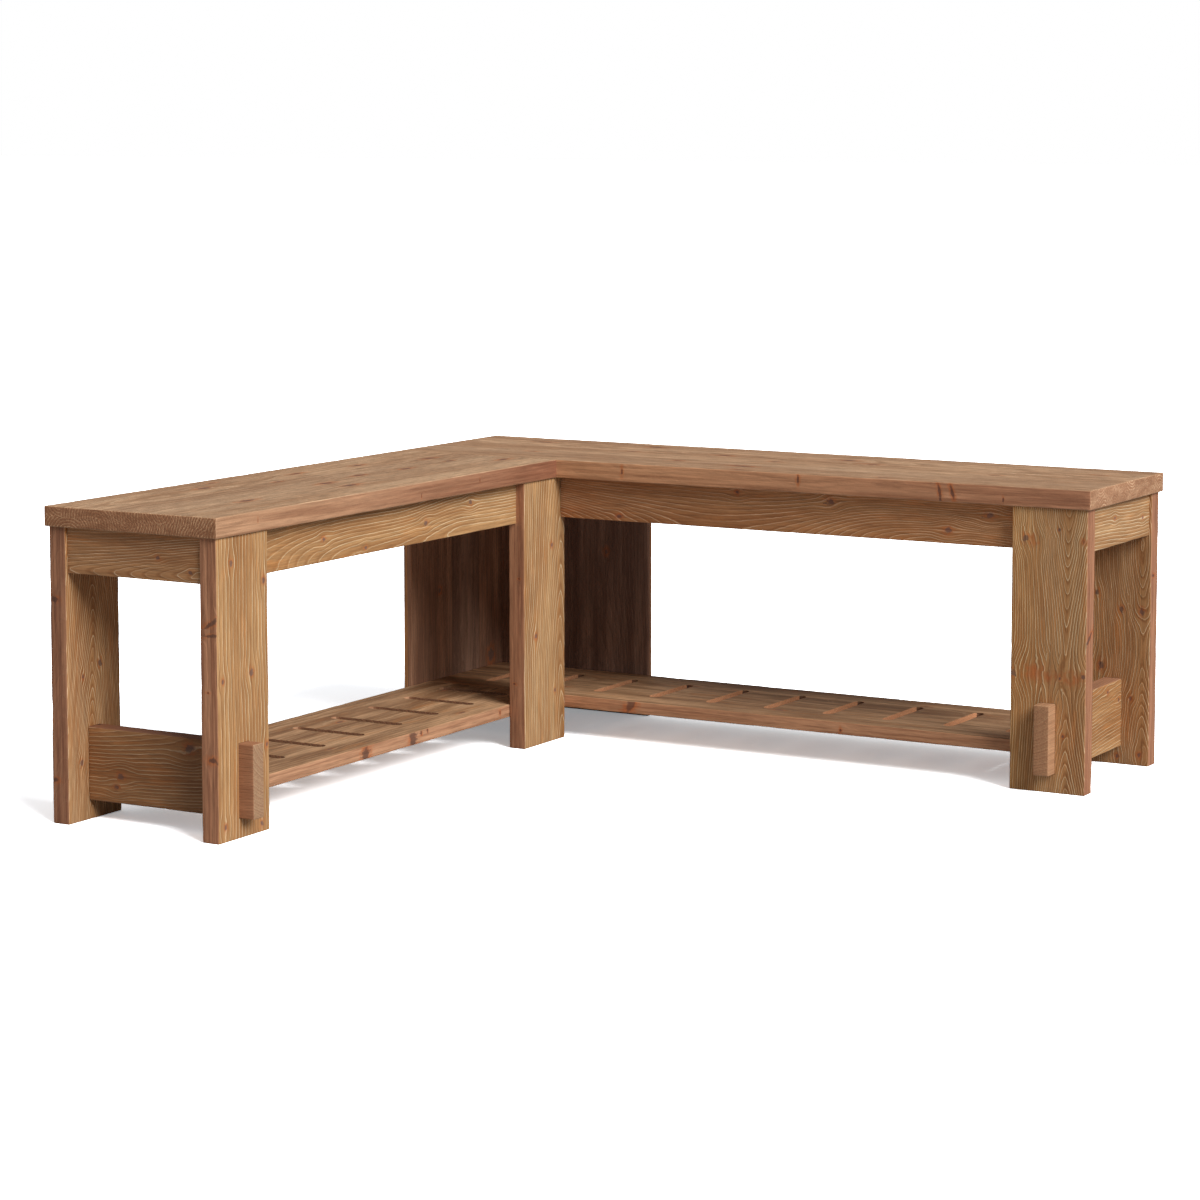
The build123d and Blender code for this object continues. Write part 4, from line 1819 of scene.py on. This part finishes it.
@dataclass
class Studio:
    """The floor, the light and the camera at the photograph's viewing angle."""

    camera_place: Point = (2.4505, -4.3308, 1.0105)
    camera_yaw: float = 29.99
    camera_pitch: float = -5.454
    lens: float = 101.07
    sensor: float = 36.0
    shift_y: float = -0.1361
    floor_half: float = 60.0
    floor_grey: float = 0.45
    floor_seen: Colour = (3.25, 3.32, 3.40)
    floor_glow: Colour = (0.270, 0.283, 0.295)
    ambient: float = 0.22
    key_from: Point = (0.76, -0.23, 0.60)
    key_spread: float = 34.0
    key_strength: float = 3.5
    key_distance: float = 4.0
    view_reach: float = 100.0

    def build(self) -> None:
        """Sets up the stage."""
        self.floor()
        self.world()
        self.key()
        self.camera()
        bpy.context.scene.view_settings.view_transform = "Standard"

    def floor(self) -> None:
        """A plain pale floor that keeps the shadow."""
        half = self.floor_half
        mesh = bpy.data.meshes.new("floor")
        corners = [(-half, -half, 0.0), (half, -half, 0.0), (half, half, 0.0), (-half, half, 0.0)]
        mesh.from_pydata(corners, [], [(0, 1, 2, 3)])
        book = ShaderBook(bpy.data.materials.new("floor_paint"))
        seen = book.add("ShaderNodeLightPath", {}, output="Is Camera Ray")
        colour = book.mix(seen, (self.floor_grey,) * 3, self.floor_seen)
        matt = book.add("ShaderNodeBsdfDiffuse", {}, [colour])
        glow = book.add("ShaderNodeEmission", {}, {"Color": (*self.floor_glow, 1.0), "Strength": seen})
        book.close(book.add("ShaderNodeAddShader", {}, [matt, glow]))
        mesh.materials.append(book.owner)
        placed("floor", mesh)

    def world(self) -> None:
        """Soft light from all round, with a white background for the camera."""
        book = ShaderBook(bpy.data.worlds.new("studio"))
        seen = book.add("ShaderNodeLightPath", {}, output="Is Camera Ray")
        colour = (1.0, 1.0, 1.0, 1.0)
        soft = book.add("ShaderNodeBackground", {}, {"Color": colour, "Strength": self.ambient})
        white = book.add("ShaderNodeBackground", {}, {"Color": colour, "Strength": 1.0})
        book.close(book.add("ShaderNodeMixShader", {}, [seen, soft, white]), "ShaderNodeOutputWorld")
        bpy.context.scene.world = book.owner

    def key(self) -> None:
        """The broad soft light from the upper right, even over the whole floor."""
        data = bpy.data.lights.new("key", "SUN")
        data.angle = math.radians(self.key_spread)
        data.energy = self.key_strength
        lamp = placed("key", data)
        direction = Vector(self.key_from).normalized()
        lamp.location = direction * self.key_distance
        lamp.rotation_euler = direction.to_track_quat("Z", "Y").to_euler()

    def camera(self) -> None:
        """The camera, with its frame shifted as the photograph's is."""
        data = bpy.data.cameras.new("camera")
        data.sensor_width = self.sensor
        data.lens = self.lens
        data.shift_y = self.shift_y
        data.clip_end = self.view_reach
        camera = placed("camera", data)
        camera.location = self.camera_place
        tilt = math.radians(90.0 + self.camera_pitch)
        camera.rotation_euler = (tilt, 0.0, math.radians(self.camera_yaw))
        bpy.context.scene.camera = camera


FINISHES: Tuple[Any, ...] = (
    WoodFinish(
        "leg_wood",
        ring_pitch=3.6 * MM,
        line_width=0.85 * MM,
        line_strength=0.92,
        late_strength=0.60,
        quiver=0.60,
        sway=0.004,
        narrow=300.0,
    ),
    WoodFinish(
        "apron_wood",
        ring_pitch=4.2 * MM,
        line_width=0.85 * MM,
        line_strength=0.70,
        late_strength=0.50,
        quiver=0.35,
    ),
    WoodFinish(
        "stretcher_wood",
        ring_pitch=4.5 * MM,
        line_width=0.90 * MM,
        line_strength=0.70,
        late_strength=0.42,
        quiver=0.35,
        vein_strength=0.40,
        end_strength=0.34,
        end_pitch=9.0 * MM,
    ),
    WoodFinish(
        "seat_wood",
        body=(0.610, 0.378, 0.222),
        deep=(0.375, 0.196, 0.102),
        late=(0.250, 0.120, 0.058),
        pale=(0.720, 0.500, 0.315),
        edge_body=(0.515, 0.262, 0.145),
        edge_deep=(0.325, 0.146, 0.076),
        end_body=(0.410, 0.200, 0.102),
        end_deep=(0.165, 0.066, 0.028),
        end_pale=(0.700, 0.460, 0.265),
        knot_core=(0.150, 0.068, 0.045),
        line_strength=0.55,
        late_strength=0.50,
        streak_strength=0.60,
        flush_strength=0.20,
        end_strength=1.0,
        end_pitch=4.6 * MM,
        ring_pitch=7.0 * MM,
        line_width=1.8 * MM,
        streak_scale=105.0,
        grit=1.6,
        knot_stretch=3.0,
        edge_stretch=0.32,
        stave_width=74.0 * MM,
        stave_layers=2,
    ),
    WoodFinish(
        "shelf_wood",
        body=(0.620, 0.370, 0.200),
        deep=(0.240, 0.118, 0.054),
        late=(0.260, 0.120, 0.052),
        pale=(0.580, 0.385, 0.225),
        edge_body=(0.500, 0.265, 0.148),
        edge_deep=(0.330, 0.155, 0.082),
        line_strength=0.45,
        late_strength=0.45,
        streak_strength=0.75,
        flush_strength=0.40,
        grit=0.8,
        ring_pitch=8.0 * MM,
        line_width=2.0 * MM,
        streak_scale=50.0,
        end_body=(0.270, 0.125, 0.064),
        end_strength=0.10,
        knot_stretch=2.6,
        edge_stretch=0.7,
    ),
    # Darkened as painted shade of the back corner, where the panels stand under the seat
    WoodFinish(
        "panel_wood",
        body=(0.480, 0.255, 0.150),
        deep=(0.205, 0.098, 0.058),
        late=(0.170, 0.076, 0.042),
        pale=(0.520, 0.300, 0.185),
        line_strength=0.25,
        late_strength=0.35,
        streak_scale=60.0,
        streak_strength=0.85,
        flush_strength=0.10,
        stave_width=86.0 * MM,
        stave_dark=(0.80, 0.82, 0.88),
        stave_light=(1.20, 1.10, 1.02),
    ),
    WoodFinish("batten_wood", line_strength=0.40),
    DowelFinish("dowel_wood"),
    SteelFinish("screw_steel"),
)


def dress_frame(materials: Finishes) -> None:
    """Gives the CAD nodes that stay the finish of their slot.

    Args:
        materials: the finishes by slot.
    """
    slots = {entry["node"]: entry["material_slot"] for entry in frame["record"]["subparts"]}
    for name, node in frame["nodes"].items():
        node.data.materials.clear()
        node.data.materials.append(materials[slots[name]])


def main() -> None:
    """Builds the bench and its stage in order."""
    logging.basicConfig(level=logging.INFO, format="%(name)s: %(message)s")
    materials = {finish.slot: finish.material() for finish in FINISHES}
    dress_frame(materials)
    tree = cutting_tree()
    CornerSeat().build(materials)
    PlankLegs().build(tree, materials)
    Aprons().build(materials)
    Stretchers().build(materials)
    Shelves().build(tree, materials)
    CornerPanels().build(materials)
    Battens().build(materials)
    ScrewSets().build(materials)
    Studio().build()


if __name__ == "__main__":
    main()
